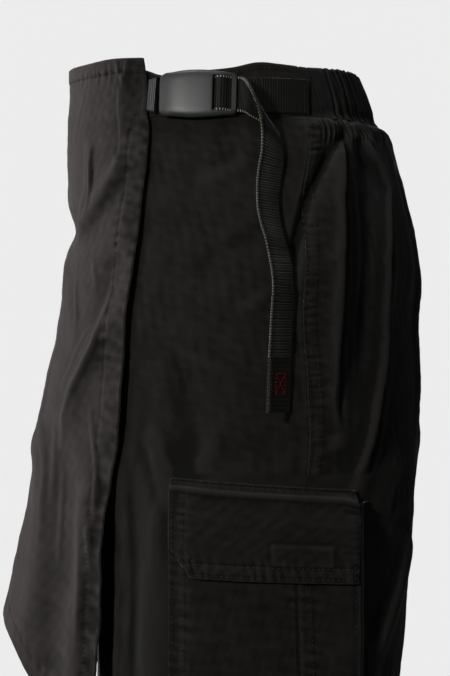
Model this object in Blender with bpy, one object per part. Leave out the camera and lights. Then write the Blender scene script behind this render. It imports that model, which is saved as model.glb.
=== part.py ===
"""A women's wrap skort: wide shorts, a wrap-over front panel and a built-in belt with its buckle.

Metres, +Z up. The wearer faces -Y, so +X is the wearer's left. The origin is the middle of the
waist opening, at the height of the waistband's top edge. The garment hangs from there as worn,
hollow, with its waist and both hems open.

Angles go round the body from the middle of the front (0) over the wearer's left side (90) to the
middle of the back (180), in degrees in the tables and in radians in the functions.
"""

from math import pi
from typing import NamedTuple

import bmesh
import bpy
import numpy as np
from mathutils import Matrix, Vector

# Cloth and seams
TWILL = 0.0015
BAND = 0.0022
WEBBING = 0.0014
SEAM_GAP = 0.0003
BAND_PROUD = 0.0006

# Heights
BAND_SEAM = -0.032
CROTCH = -0.295
HEM = -0.480
LENGTH = BAND_SEAM - HEM
CROTCH_SHARE = (BAND_SEAM - CROTCH) / LENGTH

# Section shape and how the seat turns into two legs
SQUARENESS = 0.065
FRONT_CURVE = 0.105
BACK_CURVE = 0.125
PARTING_TOP = -0.205
PARTING_END = -0.350
LEG_FRONT_IN = 0.013
LEG_SIDE_OUT = 0.0036
INSEAM_GAP_TOP = 0.0002
INSEAM_GAP_HEM = 0.010
FOLD_RADIUS = 0.150

# Gathers of the elastic back
BAND_GATHERS = 26
SEAT_GATHERS = 14
GATHER_HEIGHT = 0.0016
GATHER_END = -0.085
PLAIN_STRIP = 0.12
PLAIN_INSET = 0.03
GATHER_WANDER = 0.004

# Grid of each panel: columns across it, rows down it
FRONT_COLUMNS = 17
BACK_COLUMNS = 29
SHORTS_ROWS = 21
WRAP_COLUMNS = 27
WRAP_ROWS = 25
FRONT_BAND_COLUMNS = 37
BACK_BAND_COLUMNS = 4 * BAND_GATHERS + 1
BAND_ROWS = 3
POCKET_COLUMNS = 15
BAG_ROWS = 11
FLAP_ROWS = 9

# Steps of the sums
SLOPE_STEP = 1e-3
BISECTIONS = 36

# Cargo pocket on the left side
POCKET_FRONT = -0.032
POCKET_BACK = 0.106
POCKET_MOUTH = -0.2935
POCKET_BOTTOM = -0.450
POCKET_RISE = 0.0030
FRONT_ROUNDING = (0.002, 0.014)
BACK_ROUNDING = (0.001, 0.009)
BOTTOM_ROUNDING = (0.001, 0.012)
MOUTH_REACH = 0.020
GUSSET_START = 0.060
LAID_GAP = 0.0012
GUSSET_RISE = 0.0085
FLAP_TOP = -0.2855
FLAP_BOTTOM = -0.3575
FLAP_FRONT = -0.0315
FLAP_BACK_TOP = 0.0985
FLAP_BACK_BOTTOM = 0.1025
FLAP_CORNER = 0.016
FLAP_CLEAR = 0.0013

# Belt and buckle
STRAP_WIDTH = 0.0246
STRAP_MIDDLE = -0.0172
STRAP_START = 0.0640
STRAP_LEAVES = 0.0180
STUB_START = -0.0640
STUB_END = -0.0492
BUCKLE_Y = -0.0124
BUCKLE_LIFT = 0.0009
BUCKLE_TILT = np.radians(9.0)
FRAME_HALF_LENGTH = 0.0275
FRAME_DEPTH = 0.0080
FRAME_CURVE = 0.220
OPENING_START = 0.0110
OPENING_END = 0.0240
OPENING_HALF_WIDTH = 0.0130
BAR_ALONG = 0.0156
BAR_OUT = 0.0036
BAR_RADIUS = 0.0015
TONGUE_Y = -0.0432
TONGUE_LENGTH = 0.0062
TONGUE_DEPTH = 0.0050
LABEL_END = -0.2404
LABEL_THICKNESS = 0.0022


class Section(NamedTuple):
    """The shorts' outline at one height: half width, and reach to the front and to the back."""

    z: float
    side: float
    front: float
    back: float


SECTIONS = (
    Section(0.012, 0.137, 0.104, 0.103),
    Section(0.000, 0.138, 0.104, 0.109),
    Section(-0.020, 0.141, 0.104, 0.116),
    Section(-0.030, 0.143, 0.104, 0.119),
    Section(-0.036, 0.1445, 0.104, 0.126),
    Section(-0.051, 0.149, 0.104, 0.133),
    Section(-0.066, 0.153, 0.104, 0.1375),
    Section(-0.088, 0.160, 0.104, 0.1425),
    Section(-0.113, 0.166, 0.103, 0.1485),
    Section(-0.133, 0.170, 0.104, 0.1520),
    Section(-0.180, 0.176, 0.106, 0.1520),
    Section(-0.221, 0.178, 0.107, 0.1575),
    Section(-0.266, 0.178, 0.108, 0.1600),
    Section(-0.300, 0.178, 0.1085, 0.1520),
    Section(-0.324, 0.178, 0.109, 0.1445),
    Section(-0.359, 0.178, 0.109, 0.1400),
    Section(-0.411, 0.178, 0.109, 0.1347),
    Section(-0.445, 0.178, 0.108, 0.1302),
    Section(-0.480, 0.178, 0.108, 0.1262),
)


class SideSeam(NamedTuple):
    """Where the side seam runs round the body at one height."""

    z: float
    angle: float


SIDE_SEAM = (
    SideSeam(0.005, 125.5),
    SideSeam(-0.019, 121.0),
    SideSeam(-0.033, 117.4),
    SideSeam(-0.055, 114.0),
    SideSeam(-0.088, 109.2),
    SideSeam(-0.130, 106.8),
    SideSeam(-0.215, 106.0),
    SideSeam(-0.300, 105.5),
    SideSeam(-0.480, 106.5),
)


class WrapRow(NamedTuple):
    """The wrap panel at one height: its reach to the front, and its free edge's place and gap."""

    z: float
    front: float
    edge_angle: float
    edge_gap: float


WRAP = (
    WrapRow(0.012, 0.1115, 63.0, 0.0046),
    WrapRow(-0.012, 0.1115, 62.6, 0.0046),
    WrapRow(-0.039, 0.1130, 61.4, 0.0046),
    WrapRow(-0.077, 0.1125, 58.8, 0.0056),
    WrapRow(-0.109, 0.1125, 56.0, 0.0068),
    WrapRow(-0.145, 0.1160, 53.6, 0.0075),
    WrapRow(-0.190, 0.1220, 52.0, 0.0082),
    WrapRow(-0.222, 0.1300, 51.2, 0.0088),
    WrapRow(-0.262, 0.1360, 50.1, 0.0098),
    WrapRow(-0.309, 0.1430, 47.8, 0.0115),
    WrapRow(-0.342, 0.1490, 47.4, 0.0130),
    WrapRow(-0.372, 0.1560, 48.0, 0.0140),
    WrapRow(-0.397, 0.1620, 48.0, 0.0150),
    WrapRow(-0.430, 0.1690, 47.3, 0.0170),
    WrapRow(-0.480, 0.1780, 46.5, 0.0200),
)


class WrapEnd(NamedTuple):
    """Top and hem of the wrap at a share of its width, from the right side seam to its free edge."""

    across: float
    top: float
    hem: float


WRAP_ENDS = (
    WrapEnd(0.00, 0.005, -0.358),
    WrapEnd(0.20, 0.009, -0.358),
    WrapEnd(0.50, 0.012, -0.366),
    WrapEnd(0.65, 0.012, -0.384),
    WrapEnd(0.72, 0.011, -0.396),
    WrapEnd(0.79, 0.010, -0.413),
    WrapEnd(0.85, 0.010, -0.435),
    WrapEnd(0.92, 0.011, -0.458),
    WrapEnd(1.00, 0.010, -0.478),
)


class BandTop(NamedTuple):
    """Height of a waistband's top edge at an angle."""

    angle: float
    z: float


BAND_TOP = (
    BandTop(0.0, 0.0030),
    BandTop(50.0, 0.0030),
    BandTop(62.0, 0.0010),
    BandTop(67.0, -0.0025),
    BandTop(82.0, -0.0005),
    BandTop(95.0, 0.0020),
    BandTop(105.0, 0.0060),
    BandTop(114.0, 0.0053),
    BandTop(125.0, 0.0042),
    BandTop(140.0, 0.0055),
    BandTop(180.0, 0.0060),
)


class Fold(NamedTuple):
    """A ridge (or, below zero, a trough) along a path of (height, angle) points."""

    name: str
    width: float
    height: float
    path: tuple


WRAP_FOLDS = (
    Fold("drag from top edge", 0.007, 0.0020, ((-0.053, 33.0), (-0.082, 31.8), (-0.106, 25.2))),
    Fold("drag to pinch", 0.008, 0.0030, ((-0.068, 48.0), (-0.096, 34.5), (-0.112, 23.0))),
    Fold("pinch", 0.012, -0.0055, ((-0.109, 22.0), (-0.110, 2.0), (-0.104, -18.0))),
    Fold("hollow by edge", 0.012, -0.0025, ((-0.140, 46.0), (-0.175, 42.0))),
    Fold("lower drag", 0.010, 0.0028, ((-0.178, 43.8), (-0.224, 31.5), (-0.243, 28.8))),
    Fold("belly ridge", 0.010, 0.0020, ((-0.136, 12.5), (-0.164, 22.5), (-0.190, 28.5))),
    Fold("step under drag", 0.012, 0.0025, ((-0.268, 14.0), (-0.272, -16.0))),
    Fold("flare ridge", 0.014, 0.0030, ((-0.258, 10.5), (-0.327, 20.0), (-0.385, 21.0))),
    Fold("flare trough", 0.014, -0.0030, ((-0.280, 28.0), (-0.420, 31.0))),
    Fold("edge ridge", 0.012, 0.0030, ((-0.300, 40.0), (-0.440, 40.0))),
    Fold("right drag", 0.010, 0.0028, ((-0.060, -60.0), (-0.110, -45.0), (-0.140, -25.0))),
    Fold("right flare", 0.018, 0.0045, ((-0.200, -28.0), (-0.350, -34.0))),
    Fold("right flare trough", 0.018, -0.0035, ((-0.190, -52.0), (-0.345, -58.0))),
    Fold("right seam ridge", 0.014, 0.0030, ((-0.120, -80.0), (-0.345, -84.0))),
)

SIDE_FOLDS = (
    Fold("seam drag", 0.008, -0.0028,
         ((-0.043, 128.0), (-0.063, 119.3), (-0.082, 112.8), (-0.116, 105.8), (-0.130, 103.0))),
    Fold("first ridge", 0.008, 0.0030, ((-0.030, 132.5), (-0.190, 120.5), (-0.260, 119.8), (-0.280, 123.2))),
    Fold("valley", 0.010, -0.0020, ((-0.060, 137.0), (-0.130, 132.0), (-0.260, 126.5))),
    Fold("second ridge", 0.010, 0.0034,
         ((-0.040, 143.8), (-0.059, 148.5), (-0.081, 149.2), (-0.113, 143.2), (-0.190, 136.5), (-0.294, 128.0))),
    Fold("thigh drag", 0.014, 0.0044, ((-0.341, 161.0), (-0.391, 148.5), (-0.412, 139.8), (-0.430, 139.3))),
    Fold("front hollow", 0.016, -0.0030, ((-0.225, 69.0), (-0.275, 69.5))),
    Fold("front ridge", 0.009, 0.0022, ((-0.262, 57.5), (-0.300, 63.2))),
    Fold("front leg fall", 0.020, 0.0040, ((-0.330, 28.0), (-0.470, 22.0))),
    Fold("inner leg fall", 0.018, 0.0035, ((-0.360, -42.0), (-0.470, -46.0))),
    Fold("back leg fall", 0.020, 0.0040, ((-0.350, 196.0), (-0.470, 190.0))),
    Fold("back leg hollow", 0.018, -0.0040, ((-0.360, 176.0), (-0.470, 172.0))),
    Fold("seat fold", 0.012, 0.0035, ((-0.262, 176.0), (-0.300, 190.0), (-0.322, 206.0))),
    Fold("under seat hollow", 0.014, -0.0035, ((-0.290, 172.0), (-0.338, 196.0))),
)


class TailRow(NamedTuple):
    """The hanging webbing: its near and its far edge, as seen from the wearer's left."""

    step: float
    near_y: float
    near_z: float
    far_y: float
    far_z: float
    lift: float


TAIL = (
    TailRow(0.0, 0.0228, -0.0120, 0.0262, -0.0335, 0.0046),
    TailRow(1.0, 0.0270, -0.0210, 0.0357, -0.0385, 0.0040),
    TailRow(2.0, 0.0298, -0.0300, 0.0427, -0.0440, 0.0035),
    TailRow(3.0, 0.0317, -0.0424, 0.0460, -0.0520, 0.0030),
    TailRow(4.0, 0.0314, -0.0585, 0.0466, -0.0630, 0.0030),
    TailRow(5.0, 0.0288, -0.0736, 0.0450, -0.0755, 0.0030),
    TailRow(6.0, 0.0282, -0.0884, 0.0428, -0.0900, 0.0030),
    TailRow(7.0, 0.0295, -0.1050, 0.0440, -0.1065, 0.0030),
    TailRow(8.0, 0.0336, -0.1186, 0.0475, -0.1214, 0.0030),
    TailRow(9.0, 0.0370, -0.1354, 0.0515, -0.1354, 0.0030),
    TailRow(10.0, 0.0388, -0.1486, 0.0527, -0.1493, 0.0030),
    TailRow(12.0, 0.0376, -0.1758, 0.0525, -0.1759, 0.0030),
    TailRow(13.0, 0.0368, -0.1905, 0.0518, -0.1906, 0.0030),
    TailRow(14.0, 0.0362, -0.2015, 0.0510, -0.2018, 0.0030),
)


class LoopPoint(NamedTuple):
    """Middle of the webbing round the buckle's bar, along the buckle and out from its back."""

    along: float
    out: float


TO_BAR = (
    LoopPoint(0.0280, -0.0018),
    LoopPoint(0.0240, -0.0008),
    LoopPoint(0.0195, 0.0003),
)
FROM_BAR = (
    LoopPoint(0.0190, 0.0052),
    LoopPoint(0.0220, 0.0026),
    LoopPoint(0.0245, 0.0012),
    LoopPoint(0.0270, 0.0006),
    LoopPoint(0.0295, 0.0003),
)


class FrameStation(NamedTuple):
    """Half height of the buckle's cover along its length."""

    along: float
    half_height: float


FRAME_STATIONS = (
    FrameStation(-0.0275, 0.0128),
    FrameStation(-0.0262, 0.0142),
    FrameStation(-0.0180, 0.0161),
    FrameStation(-0.0080, 0.0173),
    FrameStation(0.0030, 0.0174),
    FrameStation(0.0130, 0.0166),
    FrameStation(0.0220, 0.0155),
    FrameStation(0.0262, 0.0147),
    FrameStation(0.0275, 0.0135),
)


class Finish(NamedTuple):
    """A plain surface: colour, roughness and metallic value."""

    name: str
    colour: tuple
    roughness: float
    metallic: float


BLACK_TWILL = Finish("black_twill", (0.022, 0.020, 0.019), 0.85, 0.0)
BLACK_WEBBING = Finish("black_webbing", (0.018, 0.018, 0.016), 0.60, 0.0)
DARK_PLASTIC = Finish("dark_plastic", (0.035, 0.038, 0.038), 0.45, 0.0)
LABEL_TAPE = Finish("label_tape", (0.012, 0.012, 0.012), 0.75, 0.0)


# ---------------------------------------------------------------- surfaces


def read(table, place, column):
    """A column of a table at a place, smooth between its rows. The first column is the place."""
    rows = sorted(table, key=lambda row: row[0])
    places = np.array([row[0] for row in rows])
    values = np.array([getattr(row, column) for row in rows])
    slopes = np.gradient(values, places)
    place = np.asarray(place, float)
    i = np.clip(np.searchsorted(places, place) - 1, 0, len(rows) - 2)
    step = places[i + 1] - places[i]
    t = np.clip((place - places[i]) / step, 0.0, 1.0)
    rise = values[i + 1] - values[i]
    ease = t * t * (3 - 2 * t)
    bend = t * (1 - t) ** 2 * slopes[i] - t * t * (1 - t) * slopes[i + 1]
    return values[i] + rise * ease + step * bend


def ease(start, end, value):
    """0 before start, 1 after end, smooth between."""
    t = np.clip((np.asarray(value, float) - start) / (end - start), 0.0, 1.0)
    return t * t * (3 - 2 * t)


def rounded(angle):
    """Sine and cosine of an angle on a slightly squared circle."""
    s, c = np.sin(angle), np.cos(angle)
    return s * (1 + SQUARENESS * c * c), c * (1 + SQUARENESS * s * s)


def torso(angle, z):
    """Point of the shorts' section round the whole body."""
    side, front, back = (read(SECTIONS, z, name) for name in ("side", "front", "back"))
    s, c = rounded(angle)
    return np.stack([side * s, (back - front) / 2 - (back + front) / 2 * c, z + 0 * s], axis=-1)


def leg(angle, z):
    """Point of the section round the left leg."""
    side, front, back = (read(SECTIONS, z, name) for name in ("side", "front", "back"))
    front = front - LEG_FRONT_IN * ease(PARTING_TOP, PARTING_END, z)
    inner = INSEAM_GAP_TOP + INSEAM_GAP_HEM * ease(CROTCH, HEM, z)
    s, c = rounded(angle)
    x = (side + inner) / 2 + (side - inner) / 2 * s
    return np.stack([x, (back - front) / 2 - (back + front) / 2 * c, z + 0 * s], axis=-1)


def fold_height(folds, z, angle):
    """Height of all the folds at points given by their height and angle in degrees."""
    scale = np.radians(1.0) * FOLD_RADIUS
    here = np.stack([z, angle * scale], axis=-1)
    total = np.zeros(np.shape(z))
    for fold in folds:
        path = np.array(fold.path) * (1.0, scale)
        nearest = np.full(np.shape(z), np.inf)
        for start, end in zip(path[:-1], path[1:]):
            run = end - start
            t = np.clip(((here - start) @ run) / (run @ run), 0.0, 1.0)
            nearest = np.minimum(nearest, np.linalg.norm(here - start - t[..., None] * run, axis=-1))
        total = total + fold.height * np.exp(-((nearest / fold.width) ** 2))
    return total


def gathers(count, angle, seam):
    """Waves of the elastic back, from seam to seam, nought on the plain strips by the seams."""
    share = (angle - seam) / (2 * pi - 2 * seam)
    wave = np.cos(2 * pi * count * (share + GATHER_WANDER * np.sin(9 * share)))
    from_start, from_end = share - PLAIN_INSET, 1 - PLAIN_INSET - share
    return wave * ease(0.0, PLAIN_STRIP / 2, from_start) * ease(0.0, PLAIN_STRIP / 2, from_end)


def flat_way(angle, z):
    """Level way out of the body's section."""
    along = torso(angle + SLOPE_STEP, z) - torso(angle - SLOPE_STEP, z)
    flat = np.stack([along[..., 1], -along[..., 0], 0 * along[..., 0]], axis=-1)
    return flat / np.linalg.norm(flat, axis=-1, keepdims=True)


def normals(surface, u, v):
    """Unit normals of a surface function, from its slopes both ways."""
    across = surface(u + SLOPE_STEP, v) - surface(u - SLOPE_STEP, v)
    down = surface(u, v + SLOPE_STEP) - surface(u, v - SLOPE_STEP)
    normal = np.cross(across, down)
    return normal / np.linalg.norm(normal, axis=-1, keepdims=True)


def raised(surface, height, outward):
    """The surface moved out by a height function, and level at its two ends.

    outward is 1 where the surface's normals point out of the body, and -1 where they point in.
    """

    def moved(u, v):
        normal = normals(surface, u, v)
        normal[..., 2] = normal[..., 2] * ease(0.0, 0.04, v) * ease(1.0, 0.96, v)
        return surface(u, v) + outward * height(u, v)[..., None] * normal

    return moved


def shorts_frame(back, u, v):
    """Height, angle on the body, angle on the leg and parting share of a point of the left leg."""
    straight = BAND_SEAM - v * LENGTH
    curve = BACK_CURVE if back else FRONT_CURVE
    begin = CROTCH_SHARE - curve / LENGTH
    turn = np.clip((v - begin) / (CROTCH_SHARE - begin), 0.0, 1.0) * pi / 2
    in_curve = (v > begin) & (v < CROTCH_SHARE)
    seam_z = np.where(in_curve, CROTCH + curve * (1 - np.sin(turn)), straight)
    z = straight + (seam_z - straight) * u**3
    soft = ease(PARTING_TOP, PARTING_END, straight)
    parting = soft + (1 - np.cos(turn) - soft) * u**4
    seam = np.radians(read(SIDE_SEAM, z, "angle"))
    body_end, leg_end = (pi, 1.5 * pi) if back else (0.0, -0.5 * pi)
    return z, seam + u * (body_end - seam), seam + u * (leg_end - seam), parting


def shorts_base(back):
    """The left leg's smooth surface: u from the side seam to the centre seam, v from top to hem."""

    def surface(u, v):
        z, on_body, on_leg, parting = shorts_frame(back, u, v)
        share = parting[..., None]
        return (1 - share) * torso(on_body, z) + share * leg(on_leg, z)

    return surface


def shorts_surface(back, folds, under_wrap=False):
    """The left leg's outer surface with its folds and, at the back, the gathers under the elastic."""

    def height(u, v):
        z, on_body, on_leg, parting = shorts_frame(back, u, v)
        angle = np.degrees((1 - parting) * on_body + parting * on_leg)
        calm = ease(1.0, 0.86, u)
        if under_wrap:
            calm = calm * (ease(0.0, 0.15, u) if back else ease(-0.345, -0.385, z))
        total = fold_height(folds, z, angle) * calm * ease(0.0, 0.04, v)
        if back:
            seam = np.radians(read(SIDE_SEAM, z, "angle"))
            fade = ease(GATHER_END, BAND_SEAM, z) * ease(1.0, 0.95, u)
            total = total + GATHER_HEIGHT * fade * gathers(SEAT_GATHERS, on_body, seam)
        return total

    return raised(shorts_base(back), height, -1.0 if back else 1.0)


def mirrored_folds(folds, turn, drop, strength):
    """Folds of the other side: alike, but a little apart, higher or lower, and not as strong."""
    return tuple(
        Fold(f.name, f.width, f.height * strength, tuple((z + drop, a + turn) for z, a in f.path))
        for f in folds
    )


def wrap_angle(u, z):
    """Angle of a point at a share of the wrap's width."""
    seam = -np.radians(read(SIDE_SEAM, z, "angle"))
    return seam + u * (np.radians(read(WRAP, z, "edge_angle")) - seam)


def wrap_base(u, v):
    """The wrap before its folds: u from the right side seam to the free edge, v from top to hem."""
    top, hem = read(WRAP_ENDS, u, "top"), read(WRAP_ENDS, u, "hem")
    z = top + v * (hem - top)
    angle = wrap_angle(u, z)
    front = read(WRAP, z, "front") - read(SECTIONS, z, "front")
    edge = read(WRAP, z, "edge_gap")
    seam = LAID_GAP + TWILL + BAND_PROUD * ease(BAND_SEAM - 0.010, BAND_SEAM, z)
    seam = seam + LEG_SIDE_OUT * ease(PARTING_TOP, PARTING_END, z)
    to_edge = ease(0.0, np.radians(read(WRAP, z, "edge_angle")), angle)
    to_seam = ease(0.0, np.radians(read(SIDE_SEAM, z, "angle")), -angle)
    off = front + (edge - front) * to_edge + (seam - front) * to_seam
    return torso(angle, z) + off[..., None] * flat_way(angle, z)


def wrap_height(u, v):
    """Folds of the wrap, calm at its side seam and its top edge."""
    top, hem = read(WRAP_ENDS, u, "top"), read(WRAP_ENDS, u, "hem")
    z = top + v * (hem - top)
    angle = np.degrees(wrap_angle(u, z))
    return fold_height(WRAP_FOLDS, z, angle) * ease(0.0, 0.12, u) * ease(0.02, 0.10, v)


def band_surface(back):
    """A waistband: u round the body between the side seams, v from its top edge to its seam."""

    def surface(u, v):
        seam = np.radians(read(SIDE_SEAM, BAND_SEAM / 2, "angle"))
        start, end = (seam, 2 * pi - seam) if back else (-seam, seam)
        angle = start + u * (end - start)
        folded = np.degrees(np.abs((angle + pi) % (2 * pi) - pi))
        top = read(BAND_TOP, folded, "z")
        if not back:
            top = np.where(angle > 0, top, BAND_TOP[0].z)
        z = top + v * (BAND_SEAM + SEAM_GAP - top)
        off = BAND_PROUD + 0 * z
        if back:
            off = off + GATHER_HEIGHT * gathers(BAND_GATHERS, angle, seam)
        return torso(angle, z) + off[..., None] * flat_way(angle, z)

    return surface


def on_side(y, z):
    """The left leg's outer surface and its normal where it has this y and this height."""
    front, back = shorts_surface(False, SIDE_FOLDS), shorts_surface(True, SIDE_FOLDS)
    smooth_front, smooth_back = shorts_base(False), shorts_base(True)
    v = (BAND_SEAM - z) / LENGTH
    low, high = np.full(np.shape(y), -0.75), np.full(np.shape(y), 0.60)
    for _ in range(BISECTIONS):
        middle = (low + high) / 2
        ahead = smooth_front(np.abs(np.minimum(middle, 0.0)), v)[..., 1]
        behind = smooth_back(np.maximum(middle, 0.0), v)[..., 1]
        too_far = np.where(middle < 0, ahead, behind) > y
        high, low = np.where(too_far, middle, high), np.where(too_far, low, middle)
    is_front = (middle < 0)[..., None]
    u_front, u_back = np.abs(np.minimum(middle, 0.0)), np.maximum(middle, 0.0)
    point = np.where(is_front, front(u_front, v), back(u_back, v))
    normal = np.where(is_front, normals(front, u_front, v), -normals(back, u_back, v))
    return point, normal


# ---------------------------------------------------------------- meshes


def material(finish):
    """The named material, made on its first use."""
    found = bpy.data.materials.get(finish.name)
    if found:
        return found
    made = bpy.data.materials.new(finish.name)
    made.use_nodes = True
    shader = made.node_tree.nodes["Principled BSDF"]
    shader.inputs["Base Color"].default_value = (*finish.colour, 1.0)
    shader.inputs["Roughness"].default_value = finish.roughness
    shader.inputs["Metallic"].default_value = finish.metallic
    return made


def finish_mesh(name, bm, collection, finish):
    """An object from a bmesh, with its faces turned out and its round faces smooth."""
    bmesh.ops.recalc_face_normals(bm, faces=bm.faces)
    mesh = bpy.data.meshes.new(name)
    bm.to_mesh(mesh)
    bm.free()
    mesh.shade_smooth()
    mesh.set_sharp_from_angle(angle=np.radians(40.0))
    mesh.materials.append(material(finish))
    obj = bpy.data.objects.new(name, mesh)
    collection.objects.link(obj)
    return obj


def wall(name, outer, inner, collection, finish):
    """A closed wall between two grids of points, rows by columns."""
    columns = outer.shape[1]
    bm = bmesh.new()
    sheets = []
    for grid in (outer, inner):
        sheets.append([[bm.verts.new(Vector(point)) for point in row] for row in grid])
    for sheet in sheets:
        for upper, lower in zip(sheet[:-1], sheet[1:]):
            for i in range(columns - 1):
                bm.faces.new((upper[i], upper[i + 1], lower[i + 1], lower[i]))
    rims = [[sheet[0] for sheet in sheets], [sheet[-1] for sheet in sheets]]
    rims += [[[row[side] for row in sheet] for sheet in sheets] for side in (0, -1)]
    for over, under in rims:
        for i in range(len(over) - 1):
            bm.faces.new((over[i], over[i + 1], under[i + 1], under[i]))
    return finish_mesh(name, bm, collection, finish)


def panel_wall(name, surface, us, vs, thickness, collection, finish, mirror=False):
    """A cloth panel from a surface function, its wall inwards of it and its two ends cut level."""
    u, v = np.meshgrid(us, vs)
    outer = surface(u, v)
    normal = normals(surface, u, v)
    normal[[0, -1], :, 2] = 0.0
    normal = normal / np.linalg.norm(normal, axis=-1, keepdims=True)
    inward = -thickness * normal * facing(outer, normal)
    inner = outer + inward
    if mirror:
        outer, inner = outer * (-1, 1, 1), inner * (-1, 1, 1)
    return wall(name, outer, inner, collection, finish)


def facing(points, normal):
    """1 where the normals of a panel point out of the body, -1 where they point in."""
    middle = points.reshape(-1, 3).mean(axis=0) * (1, 1, 0)
    rows, columns = points.shape[:2]
    centre = (rows // 3, columns // 2)
    return np.sign(np.dot(normal[centre], middle))


def seam_shares(surface, count, at_start, at_end, v=0.5):
    """Evenly spaced shares of a panel's width, trimmed by half the seam gap at its sewn edges."""
    probe = 0.01
    start, inside = surface(np.array([0.0, probe]), np.full(2, v))
    end, outside = surface(np.array([1.0, 1 - probe]), np.full(2, v))
    trim_start = SEAM_GAP / 2 * probe / np.linalg.norm(inside - start) if at_start else 0.0
    trim_end = SEAM_GAP / 2 * probe / np.linalg.norm(outside - end) if at_end else 0.0
    return np.linspace(trim_start, 1 - trim_end, count)


def ribbon(name, middle, thickness, collection, finish):
    """A strap from a grid of points down its middle layer."""
    across = np.gradient(middle, axis=1)
    along = np.gradient(middle, axis=0)
    normal = np.cross(across, along)
    normal = normal / np.linalg.norm(normal, axis=-1, keepdims=True)
    outer, inner = middle + normal * thickness / 2, middle - normal * thickness / 2
    return wall(name, outer, inner, collection, finish)


# ---------------------------------------------------------------- garment pieces


def make_shorts(collection):
    """The four shorts panels, front and back of each leg."""
    right_folds = mirrored_folds(SIDE_FOLDS, 4.0, -0.012, 0.85)
    for side, folds in (("left", SIDE_FOLDS), ("right", right_folds)):
        for back, columns in ((False, FRONT_COLUMNS), (True, BACK_COLUMNS)):
            surface = shorts_surface(back, folds, under_wrap=side == "right")
            us = seam_shares(surface, columns, True, True)
            name = f"shorts_{'back' if back else 'front'}_{side}"
            vs = np.linspace(0.0, 1.0, SHORTS_ROWS)
            panel_wall(name, surface, us, vs, TWILL, collection, BLACK_TWILL, mirror=side == "right")


def make_waistbands(collection):
    """The flat front band and the gathered elastic back band."""
    front, back = band_surface(False), band_surface(True)
    vs = np.linspace(0.0, 1.0, BAND_ROWS)
    us = seam_shares(front, FRONT_BAND_COLUMNS, True, True)
    panel_wall("waistband_front", front, us, vs, BAND, collection, BLACK_TWILL)
    us = seam_shares(back, BACK_BAND_COLUMNS, True, True)
    panel_wall("waistband_back", back, us, vs, BAND, collection, BLACK_TWILL)


def make_wrap(collection):
    """The wrap-over panel, from the right side seam across the front to the left hip."""
    surface = raised(wrap_base, wrap_height, -1.0)
    us = seam_shares(surface, WRAP_COLUMNS, True, False)
    vs = np.linspace(0.0, 1.0, WRAP_ROWS)
    panel_wall("wrap_panel", surface, us, vs, TWILL, collection, BLACK_TWILL)


def bag_gap(y, z):
    """How far the pocket bag's inner face stands off the leg."""
    front = ease(*FRONT_ROUNDING, y - POCKET_FRONT)
    back = ease(*BACK_ROUNDING, POCKET_BACK - y)
    bottom = ease(*BOTTOM_ROUNDING, z - POCKET_BOTTOM)
    mouth = 1 - 0.5 * ease(POCKET_MOUTH - MOUTH_REACH, POCKET_MOUTH, z)
    gusset = (GUSSET_RISE - POCKET_RISE) * ease(GUSSET_START, POCKET_BACK - BACK_ROUNDING[1], y)
    return LAID_GAP + (POCKET_RISE + gusset) * front * back * bottom * mouth


def flap_gap(y, z):
    """How far the flap's inner face stands off the leg: just over the pocket bag."""
    fullest_y = POCKET_BACK - BACK_ROUNDING[1]
    over_bag = bag_gap(np.minimum(y, fullest_y), np.minimum(z, POCKET_MOUTH)) + TWILL + SEAM_GAP + FLAP_CLEAR
    return LAID_GAP + (over_bag - LAID_GAP) * ease(FLAP_TOP, POCKET_MOUTH + 0.0005, z)


def side_patch(name, y, z, gap, thickness, collection, finish):
    """A piece that lies on the left side, from its points moved out by a gap."""
    point, normal = on_side(y, z)
    out = gap(y, z)[..., None]
    wall(name, point + normal * (out + thickness), point + normal * out, collection, finish)


def make_pocket(collection):
    """The cargo pocket's bag, and the flap with its clipped front corner."""
    across, down = np.meshgrid(np.linspace(0, 1, POCKET_COLUMNS), np.linspace(0, 1, BAG_ROWS))
    across = across + 0.055 * np.sin(2 * pi * across) / pi
    y = POCKET_FRONT + across * (POCKET_BACK - POCKET_FRONT)
    z = POCKET_MOUTH + down * (POCKET_BOTTOM - POCKET_MOUTH)
    side_patch("pocket_bag", y, z, bag_gap, TWILL, collection, BLACK_TWILL)

    across, down = np.meshgrid(np.linspace(0, 1, POCKET_COLUMNS), np.linspace(0, 1, FLAP_ROWS))
    back_edge = FLAP_BACK_TOP + down * (FLAP_BACK_BOTTOM - FLAP_BACK_TOP)
    clip = FLAP_CORNER * np.clip((down - 0.70) / 0.30, 0, 1)
    front_edge = FLAP_FRONT + clip
    y = front_edge + across * (back_edge - front_edge)
    z = FLAP_TOP + down * (FLAP_BOTTOM - FLAP_TOP)
    side_patch("pocket_flap", y, z, flap_gap, TWILL, collection, BLACK_TWILL)


# ---------------------------------------------------------------- belt and buckle


def band_point(y, z, off):
    """Point off the left half of the front waistband at a given y, and the way out of it."""
    low, high = np.full(np.shape(y), 0.3), np.full(np.shape(y), 2.4)
    for _ in range(BISECTIONS):
        middle = (low + high) / 2
        too_far = torso(middle, z)[..., 1] > y
        high, low = np.where(too_far, middle, high), np.where(too_far, low, middle)
    flat = flat_way(middle, z)
    return torso(middle, z) + (BAND_PROUD + off) * flat, flat


def place_on_band(y, off):
    """A placing on the waistband: X out of the cloth, Y along the belt, Z up."""
    point, flat = band_point(np.array(y), np.array(STRAP_MIDDLE), off)
    yaw = float(np.arctan2(flat[1], flat[0]))
    turn = Matrix.Rotation(yaw, 4, "Z") @ Matrix.Rotation(-BUCKLE_TILT, 4, "Y")
    return Matrix.Translation(Vector(point)) @ turn


def buckle_place():
    """The buckle's placing: its back just off the waistband in the middle of its length."""
    return place_on_band(BUCKLE_Y, BUCKLE_LIFT)


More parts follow.
